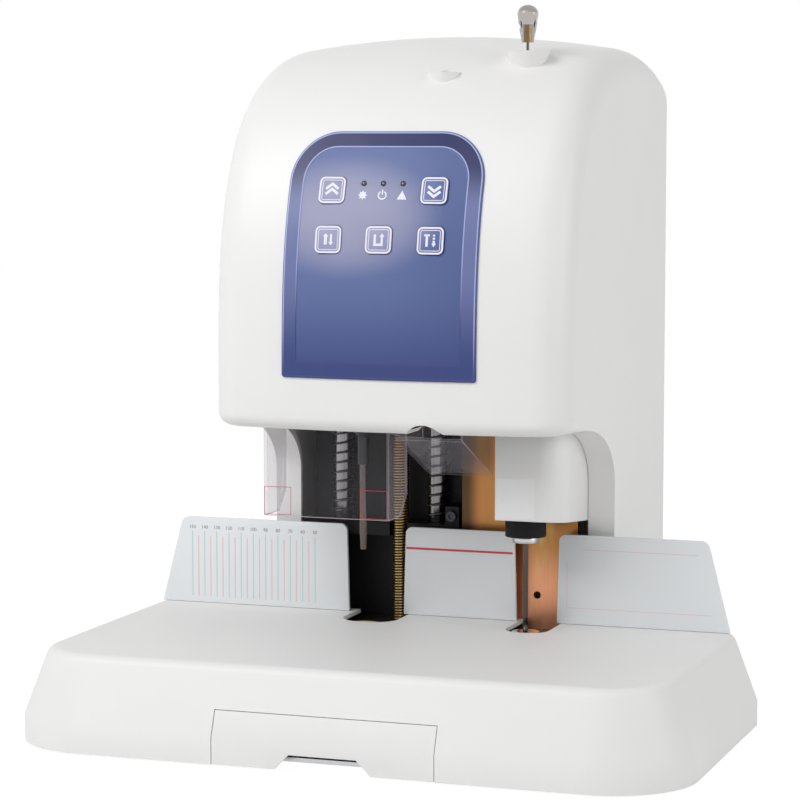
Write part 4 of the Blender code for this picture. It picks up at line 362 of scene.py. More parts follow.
def make_finishes(scene):
    """All finishes, by name."""
    shell, panel, metal = scene.riveter_shell, scene.riveter_panel, scene.riveter_metal
    plastic, steel, brass = (tuple(colour) for colour in (shell.colour, metal.steel, metal.brass))
    round_axis = (0.1, 0.1, 1)
    for key, name, colour, roughness, coarse in (
        ("shell", "shell_white", plastic, 0.42, 1),
        ("base", "base_white", tuple(c * 0.985 for c in plastic), 0.50, 1.5),
        ("fence", "fence_white", (0.80, 0.825, 0.845), 0.38, 1),
        ("black_plastic", "black_moulding", (0.022, 0.022, 0.023), 0.46, 2),
        ("insulator", "black_phenolic", (0.008, 0.008, 0.009), 0.62, 2),
        ("rubber", "black_rubber", (0.02, 0.02, 0.02), 0.8, 4),
        ("pad", "pad_beige", (0.60, 0.50, 0.36), 0.6, 4),
        ("board", "board_green", (0.02, 0.16, 0.07), 0.4, 2),
    ):
        FINISHES[key] = shell_finish(name, colour, roughness, shell.grain * coarse)
    FINISHES["insulator"].shader.inputs["Specular IOR Level"].default_value = 0.2
    for key, *values in (
        ("steel", "steel_ground", steel, 0.24, (1, 1, 0.04)),
        ("steel_turned", "steel_turned", steel, 0.22, round_axis),
        ("spring", "spring_wire", (0.13, 0.13, 0.135), 0.32, (1, 1, 0.2)),
        ("needle", "needle_steel", (0.12, 0.10, 0.09), 0.2, round_axis, 0.05, 0.000001),
        ("post", "post_steel", (0.30, 0.29, 0.30), 0.2, round_axis, 0.08, 0.000001),
        ("chuck", "chuck_black", (0.05, 0.05, 0.055), 0.34, round_axis, 0.16, 0.000001),
        ("aluminium", "aluminium_milled", (0.66, 0.66, 0.67), 0.34, (1, 0.05, 1)),
        ("gold", "insert_gold", (0.78, 0.50, 0.16), 0.2, round_axis),
        ("brass", "brass_turned", brass, 0.28, round_axis),
        ("motor", "motor_can", (0.26, 0.27, 0.28), 0.38, (1, 1, 0.1)),
    ):
        FINISHES[key] = brushed_finish(*values)
    for name, colour, roughness, amount in (
        ("print_white", (0.80, 0.79, 0.90), 0.5, 0.03),
        ("print_red", (0.62, 0.045, 0.06), 0.45, 0.05),
        ("print_rose", (0.80, 0.52, 0.56), 0.5, 0.05),
        ("print_green", (0.48, 0.68, 0.64), 0.5, 0.05),
        ("print_wine", (0.45, 0.035, 0.06), 0.5, 0.05),
        ("print_grey", (0.16, 0.16, 0.17), 0.5, 0.05),
        ("print_blue", (0.10, 0.16, 0.42), 0.5, 0.05),
    ):
        FINISHES[name] = Finish(name, colour, roughness).mottle(300.0, amount)
    film = [tuple(colour) for colour in (panel.light_colour, panel.top_colour, panel.foot_colour)]
    # Painted shade: the rim's highlight lines darken to this colour towards the foot.
    highlight_foot_shade = (0.055, 0.070, 0.220)
    FINISHES.update({
        "black_steel": Finish("steel_blackened", (0.012, 0.011, 0.012), 0.46, specular=0.2).mottle(
            60.0, 0.12, 3.0, (1, 1, 0.3)),
        "zinc": zinc_finish(tuple(metal.zinc)),
        "thread": thread_finish("brass_thread", brass, SCREW_AXIS, SCREW_RADIUS, 0.0007),
        "rivet_thread": thread_finish("steel_thread", steel, RIVET_DRIVE, RIVET_SCREW_RADIUS, 0.0008),
        "clear": clear_finish("clear_sheet", (0.62, 0.60, 0.64), 0.02, 0.025),
        "clear_edge": clear_finish("clear_edge", (0.74, 0.66, 0.72), 0.42, 0.22),
        "knob": Finish("knob_acrylic", (0.44, 0.42, 0.40), 0.03, transmission=1.0, ior=1.49),
        "lamp": Finish("lamp_lens", (0.008, 0.008, 0.014), 0.12, coat=1.0).mottle(400.0, 0.1),
        "label": Finish("label_film", (0.86, 0.86, 0.87), 0.22, coat=0.4).mottle(90.0, 0.02),
        # Panel and key films carry a painted sheen and painted shade; the rim film carries a painted sheen, and the
        # rim's lines are painted highlights.
        "panel": panel_finish("panel_film_sheen_shade", *film),
        "key": panel_finish("key_film_sheen_shade", *[tuple(c * 1.1 for c in colour) for colour in film]),
        "rim": rim_finish("rim_film_sheen", tuple(panel.rim_colour), film[2], 0.262, 0.330, (0.018, 0.024, 0.105)),
        "rim_highlight": rim_finish("rim_highlight", (0.36, 0.41, 0.70), highlight_foot_shade, 0.285, 0.345),
        "edge_highlight": rim_finish("edge_highlight", (0.40, 0.44, 0.72), highlight_foot_shade, 0.250, 0.300),
    })


# Meshes from arrays

def mesh_from(points, faces):
    """A mesh from an array of points and lists of corners, its doubles merged and its faces turned outwards."""
    mesh = bpy.data.meshes.new("mesh")
    mesh.from_pydata(np.asarray(points, float).tolist(), [], faces)
    shape = bmesh.new()
    shape.from_mesh(mesh)
    bmesh.ops.remove_doubles(shape, verts=shape.verts, dist=1e-6)
    bmesh.ops.recalc_face_normals(shape, faces=shape.faces)
    shape.to_mesh(mesh)
    shape.free()
    return mesh


def sheet_mesh(grid, wrap_rows=False, wrap_columns=True, caps=True):
    """A grid of points, rows by columns by 3, as a surface; caps close its first and last row.

    Each square lies between neighbouring points, past the last row or column too where it wraps.
    """
    rows, columns = grid.shape[:2]
    down, across = np.arange(rows if wrap_rows else rows - 1), np.arange(columns if wrap_columns else columns - 1)
    r, c = np.meshgrid(down, across, indexing="ij")
    r2, c2 = (r + 1) % rows, (c + 1) % columns
    corners = np.stack([r * columns + c, r2 * columns + c, r2 * columns + c2, r * columns + c2], -1)
    faces = corners.reshape(-1, 4).tolist()
    if caps:
        faces += [list(range(columns)), list(range((rows - 1) * columns, rows * columns))]
    return mesh_from(grid.reshape(-1, 3), faces)


def turned_mesh(profile, x, y, sides=48):
    """A profile of (radius, height) carried round an upright axis; a profile off the axis is a closed ring."""
    profile = np.asarray(profile, float)
    angle = np.linspace(0, TURN, sides, endpoint=False)[:, None]
    radius, height = profile[:, 0][None], profile[:, 1][None]
    grid = np.stack([x + radius * np.cos(angle), y + radius * np.sin(angle), height + 0 * angle], -1)
    return sheet_mesh(grid, wrap_rows=True, wrap_columns=profile[0, 0] > 0, caps=False)


def rod(radius, low, high):
    """Profile of a plain rod."""
    return [(0, high), (radius, high), (radius, low), (0, low)]


def tube(radius, bore, low, high):
    """Profile of a plain tube."""
    return [(radius, high), (radius, low), (bore, low), (bore, high)]


def slab_mesh(outline, low, high, plane="flat"):
    """A flat outline carried straight from one plane to another: flat lies level, front faces -Y, side faces X."""
    outline = np.asarray(outline, float)
    grid = np.zeros((2, len(outline), 3))
    u, v, w = {"flat": (0, 1, 2), "front": (0, 2, 1), "side": (1, 2, 0)}[plane]
    grid[..., u] = outline[:, 0]
    grid[..., v] = outline[:, 1]
    grid[..., w] = np.array([[low], [high]])
    return sheet_mesh(grid)


def box_mesh(low, high):
    return slab_mesh([(low[0], low[1]), (high[0], low[1]), (high[0], high[1]), (low[0], high[1])], low[2], high[2])


def band_mesh(outer, inner, low, high):
    """A closed flat band between two level outlines of as many points, from one height to another."""
    rows = [np.column_stack([line, np.full(len(line), height)]) for line, height in (
        (outer, low), (outer, high), (inner, high), (inner, low))]
    return sheet_mesh(np.stack(rows), wrap_rows=True, caps=False)


def arc(centre, radius, start, end, steps=8):
    """Points on an arc between two angles in degrees, both ends included."""
    angle = np.radians(np.linspace(start, end, steps + 1))
    return np.stack([centre[0] + radius * np.cos(angle), centre[1] + radius * np.sin(angle)], -1)


def square(half, radius=0.0, middle=(0, 0)):
    """A square outline, anticlockwise, with round corners where it has a radius."""
    x, y = middle
    if not radius:
        return [(x - half, y - half), (x + half, y - half), (x + half, y + half), (x - half, y + half)]
    reach = half - radius
    return np.concatenate([
        arc((x + sx * reach, y + sy * reach), radius, start, start + 90, 6)
        for sx, sy, start in ((-1, -1, 180), (1, -1, 270), (1, 1, 0), (-1, 1, 90))])


def placed(mesh, place):
    mesh.transform(place)
    return mesh


def joined(meshes):
    """Several meshes as one."""
    shape = bmesh.new()
    for mesh in meshes:
        shape.from_mesh(mesh)
    whole = bpy.data.meshes.new("joined")
    shape.to_mesh(whole)
    shape.free()
    return whole


def thing(name, data):
    made = bpy.data.objects.new(name, data)
    bpy.context.scene.collection.objects.link(made)
    return made


def baked(item):
    """The mesh that an object's modifiers give."""
    bpy.context.view_layer.update()
    return bpy.data.meshes.new_from_object(item.evaluated_get(bpy.context.evaluated_depsgraph_get()))


def settle(item):
    """Put the result of an object's modifiers into its mesh."""
    mesh = baked(item)
    item.modifiers.clear()
    item.data = mesh


def carved(mesh, *groups):
    """A mesh after booleans in order, given as groups of a word and the meshes that it holds for."""
    item = thing("work", mesh)
    tools = []
    for word, *meshes in groups:
        for tool_mesh in meshes:
            tools.append(thing("tool", tool_mesh))
            step = item.modifiers.new("step", "BOOLEAN")
            step.operation = {"add": "UNION", "cut": "DIFFERENCE", "keep": "INTERSECT"}[word]
            step.solver, step.object = "EXACT", tools[-1]
    result = baked(item)
    for made in (item, *tools):
        bpy.data.objects.remove(made)
    return result


def piece(name, mesh, finish, body="machine", replaces=(), bevel=0.0, angle=32, level=False):
    """A finished piece: its material, its soft edges, its smooth shading and the body that it rides on.

    A level piece takes its normals from its larger faces, so that they shade flat up to their round edges.
    """
    item = thing(name, mesh)
    mesh.name = name
    item.data.materials.clear()
    item.data.materials.append(FINISHES[finish].material)
    if bevel:
        step = item.modifiers.new("soft_edges", "BEVEL")
        step.width, step.segments, step.limit_method = bevel, 2, "ANGLE"
        step.angle_limit = math.radians(angle)
        step.use_clamp_overlap = True
        settle(item)
    item.data.shade_smooth()
    item.data.set_sharp_from_angle(angle=math.radians(angle))
    if level:
        item.modifiers.new("normals", "WEIGHTED_NORMAL").keep_sharp = True
        settle(item)
    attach(item, body)
    if replaces:
        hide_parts(*replaces)
    return item


def turned(name, profile, axis, finish, body="machine", replaces=(), bevel=0.0, sides=48):
    """A finished piece from a profile carried round an upright axis."""
    return piece(name, turned_mesh(profile, *axis, sides), finish, body, replaces, bevel)


def printed(name, boxes, y, finish):
    """Print on an upright face: thin plates, each given by its left, foot, right and top."""
    lift = 0.00006
    points, faces = [], []
    for x0, z0, x1, z1 in boxes:
        first = len(points)
        for depth in (y - lift, y + lift / 2):
            points += [(x0, depth, z0), (x1, depth, z0), (x1, depth, z1), (x0, depth, z1)]
        for face in ((0, 1, 2, 3), (7, 6, 5, 4), (0, 4, 5, 1), (1, 5, 6, 2), (2, 6, 7, 3), (3, 7, 4, 0)):
            faces.append([first + i for i in face])
    return piece(name, mesh_from(points, faces), finish)


def outlined(name, low, high, line, y, finish):
    """Print on an upright face: a thin rectangle between two corners in x and z."""
    (left, foot), (right, top) = low, high
    printed(name, [
        (left, foot, right, foot + line), (left, top - line, right, top),
        (left, foot + line, left + line, top - line), (right - line, foot + line, right, top - line)], y, finish)


def recolour(**finishes):
    """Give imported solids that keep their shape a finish: the nodes of each finish stand in one string."""
    for finish, nodes in finishes.items():
        for name in nodes.split():
            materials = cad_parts[name].data.materials
            materials.clear()
            materials.append(FINISHES[finish].material)


# The head's surface

def brow(angle, inset=0.0):
    """Middle line of face and top: a quarter superellipse of power 2.75 from the brow to the crest, moved inwards.

    Gives y, z and the outward direction's y and z for an array of angles.
    """
    power = 2 / BROW_POWER
    run, rise = CREST_Y - HEAD_FRONT_Y, CREST_Z - BROW_Z
    across, up = np.clip(np.cos(angle), 0, 1), np.clip(np.sin(angle), 0, 1)
    ny, nz = -across ** (2 - power) / run, up ** (2 - power) / rise
    size = np.hypot(ny, nz)
    ny, nz = ny / size, nz / size
    return CREST_Y - run * across ** power - ny * inset, BROW_Z + rise * up ** power - nz * inset, ny, nz


def crown(x):
    """How far the surface lies inside the middle line: it grows with the square of the distance from it."""
    return CROWN * (x / (HOUSING_HALF - EDGE_FILLET)) ** 2


def brow_angle(z, sag=0.0):
    """Angles at which the middle line, moved inwards by the sag, has these heights: an interval halved forty times."""
    low, high = np.zeros_like(z), np.full_like(z, math.pi / 2)
    for _ in range(40):
        middle = (low + high) / 2
        _, height, _, up = brow(middle)
        below = height - up * sag < z
        low, high = np.where(below, middle, low), np.where(below, high, middle)
    return low


def on_head(outline, lift=0.0):
    """Points on the head's face at an outline's x and z, lifted along the outward direction."""
    x, z = outline[..., 0], outline[..., 1]
    y, _, ny, nz = brow(brow_angle(z, crown(x)))
    return np.stack([x, y - ny * crown(x) + ny * lift, z + nz * lift], -1)


def face_frame(x, z):
    """Place whose w points out of the face at this spot and whose v points up along it."""
    y, _, ny, nz = (float(v) for v in brow(brow_angle(np.array(z))))
    outward, across = Vector((0, ny, nz)), Vector((1, 0, 0))
    turn = Matrix((across, outward.cross(across), outward)).transposed().to_4x4()
    return Matrix.Translation(Vector((x, y, z)) - outward * crown(x)) @ turn


def housing_line(inset, steps):
    """Closed middle outline of head and column: y, z, outward y, outward z and corner inset, one row per point."""
    radius, bottom, face = HEAD_FOOT_RADIUS - inset, HEAD_BOTTOM_Z + inset, HEAD_FRONT_Y + inset
    angle = np.linspace(math.pi / 2, 0, steps)
    fall = radius * (1 - np.cos(angle))
    foot = np.stack([face + fall, bottom + radius * (1 - np.sin(angle)), 0 * angle - 1, 0 * angle, fall], -1)
    height = np.linspace(bottom + radius, BROW_Z, 6)[1:-1]
    wall = np.stack([0 * height + face, height, 0 * height - 1, 0 * height, 0 * height], -1)
    y, z, ny, nz = brow(np.linspace(0, math.pi / 2, 4 * steps), inset)
    top = np.stack([y, z, ny, nz, 0 * y], -1)
    rear = REAR_Y + (OVERRUN if inset else 0)
    y = CREST_Y + (rear - CREST_Y) * np.linspace(0, 1, 6)[1:]
    z = BROW_Z + (CREST_Z - BROW_Z) * (1 - ((y - CREST_Y) / REAR_RUN) ** BROW_POWER) ** (1 / BROW_POWER) - inset
    back = np.stack([y, z, 0 * y, 0 * y + 1, 0 * y], -1)
    foot_z = -OVERRUN if inset else FOOT_Z
    column = COLUMN_FRONT_Y + inset
    posts = np.array([[rear, foot_z, 0, 0, 0], [column, foot_z, 0, 0, 0]])
    angle = np.linspace(0, math.pi / 2, 2 * steps)
    y, z = column - ARCH_DEPTH * (1 - np.cos(angle)), bottom - ARCH_HEIGHT * (1 - np.sin(angle))
    arch = np.stack([y, z, 0 * y, 0 * y, 0 * y], -1)
    return np.concatenate([foot, wall, top, back, posts, arch])


def housing_mesh(inset, steps):
    """Sections across the machine: each moves inwards with the crown, and over the edge by a quarter circle."""
    radius, half = EDGE_FILLET - inset, HOUSING_HALF - inset
    start = math.atan(2 * CROWN / (HOUSING_HALF - EDGE_FILLET))
    edge_x = half - radius * (1 - math.sin(start))
    edge_in = crown(edge_x)
    share = np.linspace(0, 1, 9)[:-1]
    angle = np.linspace(start, math.pi / 2, steps)
    x = np.concatenate([edge_x * share, half - radius * (1 - np.sin(angle))])
    moved = np.concatenate([edge_in * share ** 2, edge_in + radius * (math.cos(start) - np.cos(angle))])
    turn = np.concatenate([0 * share, angle])
    x, moved, turn = (np.concatenate([s * v[:0:-1], v])[:, None] for s, v in ((-1, x), (1, moved), (1, turn)))
    y, z, ny, nz, corner = housing_line(inset, steps).T
    inward = corner * (1 - np.cos(turn))
    return sheet_mesh(np.stack([
        x - np.sign(x) * corner * np.sin(turn), y - ny * moved - inward, z - nz * moved + 0 * turn], -1))


def key_outline(extra=0.0):
    return square(KEY_SIDE / 2 + extra, 0.004 + extra)


def key_holes(depth):
    """Fresh cutters for the five key openings, which reach this far behind the face."""
    return [placed(slab_mesh(key_outline(KEY_GAP), -depth, KEY_HOLE_TOP), face_frame(*spot))
            for spot in KEYS.values()]


# Base

def base_mesh(inset, steps):
    """Base as a solid: rings of a plan with round front corners, widened as the height's section says.

    The section is an upright band, a wall that leans by 20.7 degrees and a quarter round up to the platform.
    """
    foot_z = -OVERRUN if inset else FOOT_Z
    band_z, centre_z = FOOT_Z + BAND_HEIGHT, PLATFORM_Z - EDGE_RADIUS
    run = (EDGE_RADIUS + (centre_z - band_z) * math.sin(BASE_LEAN)) / math.cos(BASE_LEAN)
    radius = EDGE_RADIUS - inset
    angle = np.linspace(BASE_LEAN, math.pi / 2, steps)
    height = np.concatenate([[foot_z, band_z - inset * math.tan(BASE_LEAN / 2)], centre_z + radius * np.sin(angle)])
    out = np.concatenate([[BASE_FLARE - inset] * 2, BASE_FLARE - run + radius * np.cos(angle)])[:, None]
    half, rear = BASE_HALF - BASE_FLARE, BASE_REAR_Y - inset
    x, y = half - PLAN_RADIUS, FRONT_Y + BASE_FLARE + PLAN_RADIUS
    turn = np.radians(np.concatenate([np.linspace(180, 270, 2 * steps), np.linspace(270, 360, 2 * steps)]))
    side = np.repeat([-1.0, 1.0], 2 * steps)
    reach = PLAN_RADIUS + out
    grid_x = np.concatenate([-half - out, side * x + reach * np.cos(turn), half + out], 1)
    grid_y = np.concatenate([0 * out + rear, y + reach * np.sin(turn), 0 * out + rear], 1)
    return sheet_mesh(np.stack([grid_x, grid_y, height[:, None] + 0 * grid_x], -1))


def platform_slot(middle, half, reach):
    """Cutter of a slot in the platform: round in front, open through the rear."""
    radius, front, rear = half * 0.85, FENCE_Y - reach, COLUMN_FRONT_Y + OVERRUN
    return slab_mesh(np.concatenate([
        arc((middle - half + radius, front + radius), radius, 180, 270),
        arc((middle + half - radius, front + radius), radius, 270, 360),
        [(middle + half, rear), (middle - half, rear)]]), PLATFORM_Z - WALL - OVERRUN, PLATFORM_Z + OVERRUN)


class RIVETER_OT_base(bpy.types.Operator):
    """Base shell and paper bin"""

    bl_idname = "riveter.base"
    bl_label = "Base and paper bin"

    def execute(self, context):
        steps = context.scene.riveter_shell.corner_steps
        gap, inner = 0.0005, 0.112
        side = BIN_HIGH.x + gap
        neck = box_mesh(
            (-HOUSING_HALF, BASE_REAR_Y - WALL, FOOT_Z), (HOUSING_HALF, COLUMN_FRONT_Y - CLEAR, PLATFORM_Z))
        hollow = box_mesh(
            (-inner, BASE_REAR_Y - 2 * WALL, -OVERRUN), (inner, COLUMN_FRONT_Y + OVERRUN, PLATFORM_Z - WALL))
        door = box_mesh(
            (-side, FRONT_Y - OVERRUN, -OVERRUN), (side, FRONT_Y + BASE_FLARE + WALL, BIN_HIGH.z + gap))
        ledge = box_mesh(
            (-BASE_HALF, FENCE_Y - CLEAR, PLATFORM_Z - LEDGE_DROP), (BASE_HALF, COLUMN_FRONT_Y, PLATFORM_Z + OVERRUN))
        slots = platform_slot(DRILL_X + 0.003, 0.021, 0.040), platform_slot(RIVET_X + 0.0018, 0.016, 0.0445)
        mesh = carved(
            base_mesh(0.0, steps), ("add", neck), ("cut", base_mesh(WALL, steps), hollow, *slots, door, ledge))
        piece("base_skin", mesh, "base", replaces=["base_shell"], bevel=0.0004, angle=40, level=True)
        self.make_bin(steps)
        return {"FINISHED"}

    def make_bin(self, steps):
        """Drawer whose face is cut from the base's own front wall."""
        half, top, back = BIN_HIGH.x, BIN_HIGH.z, BIN_HIGH.y
        floor, wall, face, tray_top = 0.0133, 0.0016, 0.003, 0.034
        runner_front, runner_foot, runner_width = FRONT_Y + 0.021, 0.0073, 0.004
        front, inner = FRONT_Y - OVERRUN, half - 2 * wall
        tray = carved(base_mesh(face / 2, steps), (
            "keep", box_mesh((wall - half, front, floor), (half - wall, back, tray_top))))
        hollow = carved(base_mesh(face, steps), (
            "keep", box_mesh((-inner, front, floor + wall), (inner, back - wall, top + OVERRUN))))
        finger = slab_mesh([(-0.038, -OVERRUN), (0.039, -OVERRUN), (0.0245, 0.0125), (-0.0235, 0.0125)],
                           front, FRONT_Y + face + CLEAR, "front")
        runners = []
        for sign in (-1, 1):
            left, right = sorted((sign * (half - wall), sign * (half - wall - runner_width)))
            runners.append(box_mesh((left, runner_front, runner_foot), (right, back, floor + wall / 2)))
        mesh = carved(
            base_mesh(0.0, steps), ("cut", base_mesh(face, steps)),
            ("keep", box_mesh((-half, front, BIN_LOW.z), (half, FRONT_Y + BASE_FLARE, top))))
        mesh = carved(mesh, ("add", tray), ("cut", hollow, finger), ("add", *runners))
        piece("bin_skin", mesh, "base", "paper_bin", ["paper_bin"], bevel=0.0003, angle=40, level=True)


class RIVETER_OT_feet(bpy.types.Operator):
    """Rubber feet with a hollow sole, and the chassis plate"""

    bl_idname = "riveter.feet"
    bl_label = "Feet and chassis"

    def execute(self, context):
        for node in ("foot_front_left", "foot_front_right", "foot_rear_left", "foot_rear_right"):
            x, y, radius, low, high = stand(node)
            profile = [
                (0, high), (radius, high), (radius * 0.94, low), (radius * 0.62, low),
                (radius * 0.55, low + 0.001), (0, low + 0.001)]
            turned(node + "_rubber", profile, (x, y), "rubber", replaces=[node], bevel=0.0003)
        recolour(steel="chassis_plate")
        return {"FINISHED"}


# Paper fence

def fence_outlines():
    """The three sections: round outer top corners, drafted gap edges."""
    foot, top = FENCE_LOW.z, FENCE_HIGH.z
    outer, inner, draft, top_half = 0.007, 0.005, 0.0016, 0.2060
    left, middle, right = (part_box("fence_" + name) for name in ("left", "middle", "right"))

    def corner(x, side):
        points = arc((x - side * inner, top - inner), inner, 90 - 90 * side, 90)
        return points if side > 0 else points[::-1]

    return {
        "left": np.concatenate([
            [(left[0].x, foot), (left[1].x + draft, foot)], corner(left[1].x, 1),
            arc((-top_half + outer, top - outer), outer, 90, 166)]),
        "middle": np.concatenate([
            [(middle[0].x - draft, foot), (middle[1].x + draft, foot)], corner(middle[1].x, 1),
            corner(middle[0].x, -1)]),
        "right": np.concatenate([
            [(right[0].x - draft, foot), (right[1].x, foot)],
            arc((top_half - outer, top - outer), outer, 14, 90), corner(right[0].x, -1)]),
    }


def number_mesh(text, size, x, z, y):
    """A number as flat letters that face the front, made a mesh before it is placed."""
    curve = bpy.data.curves.new("number", "FONT")
    curve.body, curve.size, curve.align_x, curve.extrude = text, size, "CENTER", 0.00004
    holder = thing("number", curve)
    mesh = baked(holder)
    bpy.data.objects.remove(holder)
    return placed(mesh, Matrix.Translation((x, y, z)) @ Matrix.Rotation(math.pi / 2, 4, "X"))


class RIVETER_OT_fence(bpy.types.Operator):
    """Paper fence with its scale, its stack line and its bare notice place"""

    bl_idname = "riveter.fence"
    bl_label = "Paper fence"

    def execute(self, context):
        for name, outline in fence_outlines().items():
            piece("fence_skin_" + name, slab_mesh(outline, FENCE_Y, FENCE_HIGH.y, "front"), "fence",
                  replaces=["fence_" + name], bevel=0.0004, angle=30)
        self.make_scale()
        low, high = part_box("fence_middle")
        line_z, half = PLATFORM_Z + 0.050, 0.0008
        printed("stack_line", [(low.x + 0.0004, line_z - half, high.x - 0.0012, line_z + half)], FENCE_Y, "print_red")
        left, right, foot, top, thin = 0.1000, 0.2080, PLATFORM_Z + 0.0120, PLATFORM_Z + 0.0555, 0.0003
        printed("notice_frame", [
            (left, foot, right, foot + thin), (left, foot, left + thin, top - 0.010),
            (left + 0.012, top - thin, right - 0.010, top)], FENCE_Y, "print_rose")
        return {"FINISHED"}

    def make_scale(self):
        """Lines every 5 mm from the drill's axis, longer and numbered every 10 mm."""
        low, high, half, shorter = PLATFORM_Z + 0.0048, PLATFORM_Z + 0.0548, 0.00035, 0.0035
        tens, fives, numbers = [], [], []
        for value in range(50, 151, 5):
            x = DRILL_X - value / 1000
            if value % 10:
                fives.append((x - half, low, x + half, high - shorter))
            else:
                tens.append((x - half, low, x + half, high))
                numbers.append(number_mesh(str(value), 0.0036, x, high + 0.0020, FENCE_Y))
        printed("scale_tens", tens, FENCE_Y, "print_green")
        printed("scale_fives", fives, FENCE_Y, "print_rose")
        piece("scale_numbers", joined(numbers), "print_grey")


class RIVETER_OT_housing(bpy.types.Operator):
    """Head and column shell with its spouts, mouth, finger notch and key openings"""

    bl_idname = "riveter.housing"
    bl_label = "Head and column"

    def execute(self, context):
        steps = context.scene.riveter_shell.corner_steps
        boss_top, bore_top = stand("needle_bush")[4], 0.5
        spouts, bores = [], []
        for axis, radius, top, height, bore, depth in (
            (RIVET_AXIS, 0.0165, boss_top, 0.026, 0.0033, 0.026), (TUBE_AXIS, 0.0112, PORT_TOP_Z, 0.022, 0.0032, 0.044),
        ):
            cone = [(0, top), (radius, top), (SPOUT_FOOT_RADIUS, top - height), (0, top - height)]
            spouts.append(turned_mesh(cone, *axis, 64))
            bores.append(turned_mesh(rod(bore, top - depth, bore_top), *axis, 32))
        mouth = box_mesh((-WING_INNER_HALF, HEAD_FRONT_Y + MOUTH_SETBACK, -OVERRUN), (
            WING_INNER_HALF, COLUMN_FRONT_Y + 2 * WALL, HEAD_BOTTOM_Z + WALL + OVERRUN))
        notch = slab_mesh(
            arc((FINGER_X, HEAD_BOTTOM_Z - FINGER_RADIUS + FINGER_RISE), FINGER_RADIUS, 0, 352, 44),
            HEAD_FRONT_Y - OVERRUN, HEAD_FRONT_Y + MOUTH_SETBACK + OVERRUN, "front")
        mesh = carved(
            housing_mesh(0.0, steps), ("add", *spouts),
            ("cut", housing_mesh(WALL, steps), mouth, notch, *bores, *key_holes(2 * KEY_THICK)))
        piece("head_skin", mesh, "shell", replaces=["housing_shell"], angle=28)
        outer, inner = square(0.0068, middle=TUBE_AXIS), square(0.0062, middle=TUBE_AXIS)
        piece("port_outline", band_mesh(outer, inner, PORT_TOP_Z - 0.0001, PORT_TOP_Z + 0.00006), "print_blue")
        return {"FINISHED"}


# Control panel

def panel_outline(extra=0.0, steps=14):
    """Panel outline in x and z: large round upper corners, nearly square lower ones, evenly divided sides."""
    half, low, high = PANEL_HALF + extra, PANEL_LOW_Z - extra, PANEL_HIGH_Z + extra
    top, foot = max(0.034 + extra, 0.002), max(0.002 + extra, 0.0006)
    left, right = PANEL_X - half, PANEL_X + half

    def side(start, end, count):
        share = np.linspace(0, 1, count + 2)[1:-1, None]
        return np.asarray(start) * (1 - share) + np.asarray(end) * share

    return np.concatenate([
        arc((left + foot, low + foot), foot, 180, 270, 3), side((left + foot, low), (right - foot, low), 30),
        arc((right - foot, low + foot), foot, 270, 360, 3), side((right, low + foot), (right, high - top), 30),
        arc((right - top, high - top), top, 0, 90, steps), side((right - top, high), (left + top, high), 18),
        arc((left + top, high - top), top, 90, 180, steps), side((left, high - top), (left, low + foot), 30)])


def ribbon_on_face(inset, width, lift, thick):
    """Closed band along the panel's outline: a flat strip that follows the face, with its back just under it."""
    rings = [on_head(panel_outline(-edge), height) for edge, height in (
        (inset, lift), (inset, lift + thick), (inset + width, lift + thick), (inset + width, lift))]
    return sheet_mesh(np.stack(rings), wrap_rows=True, caps=False)


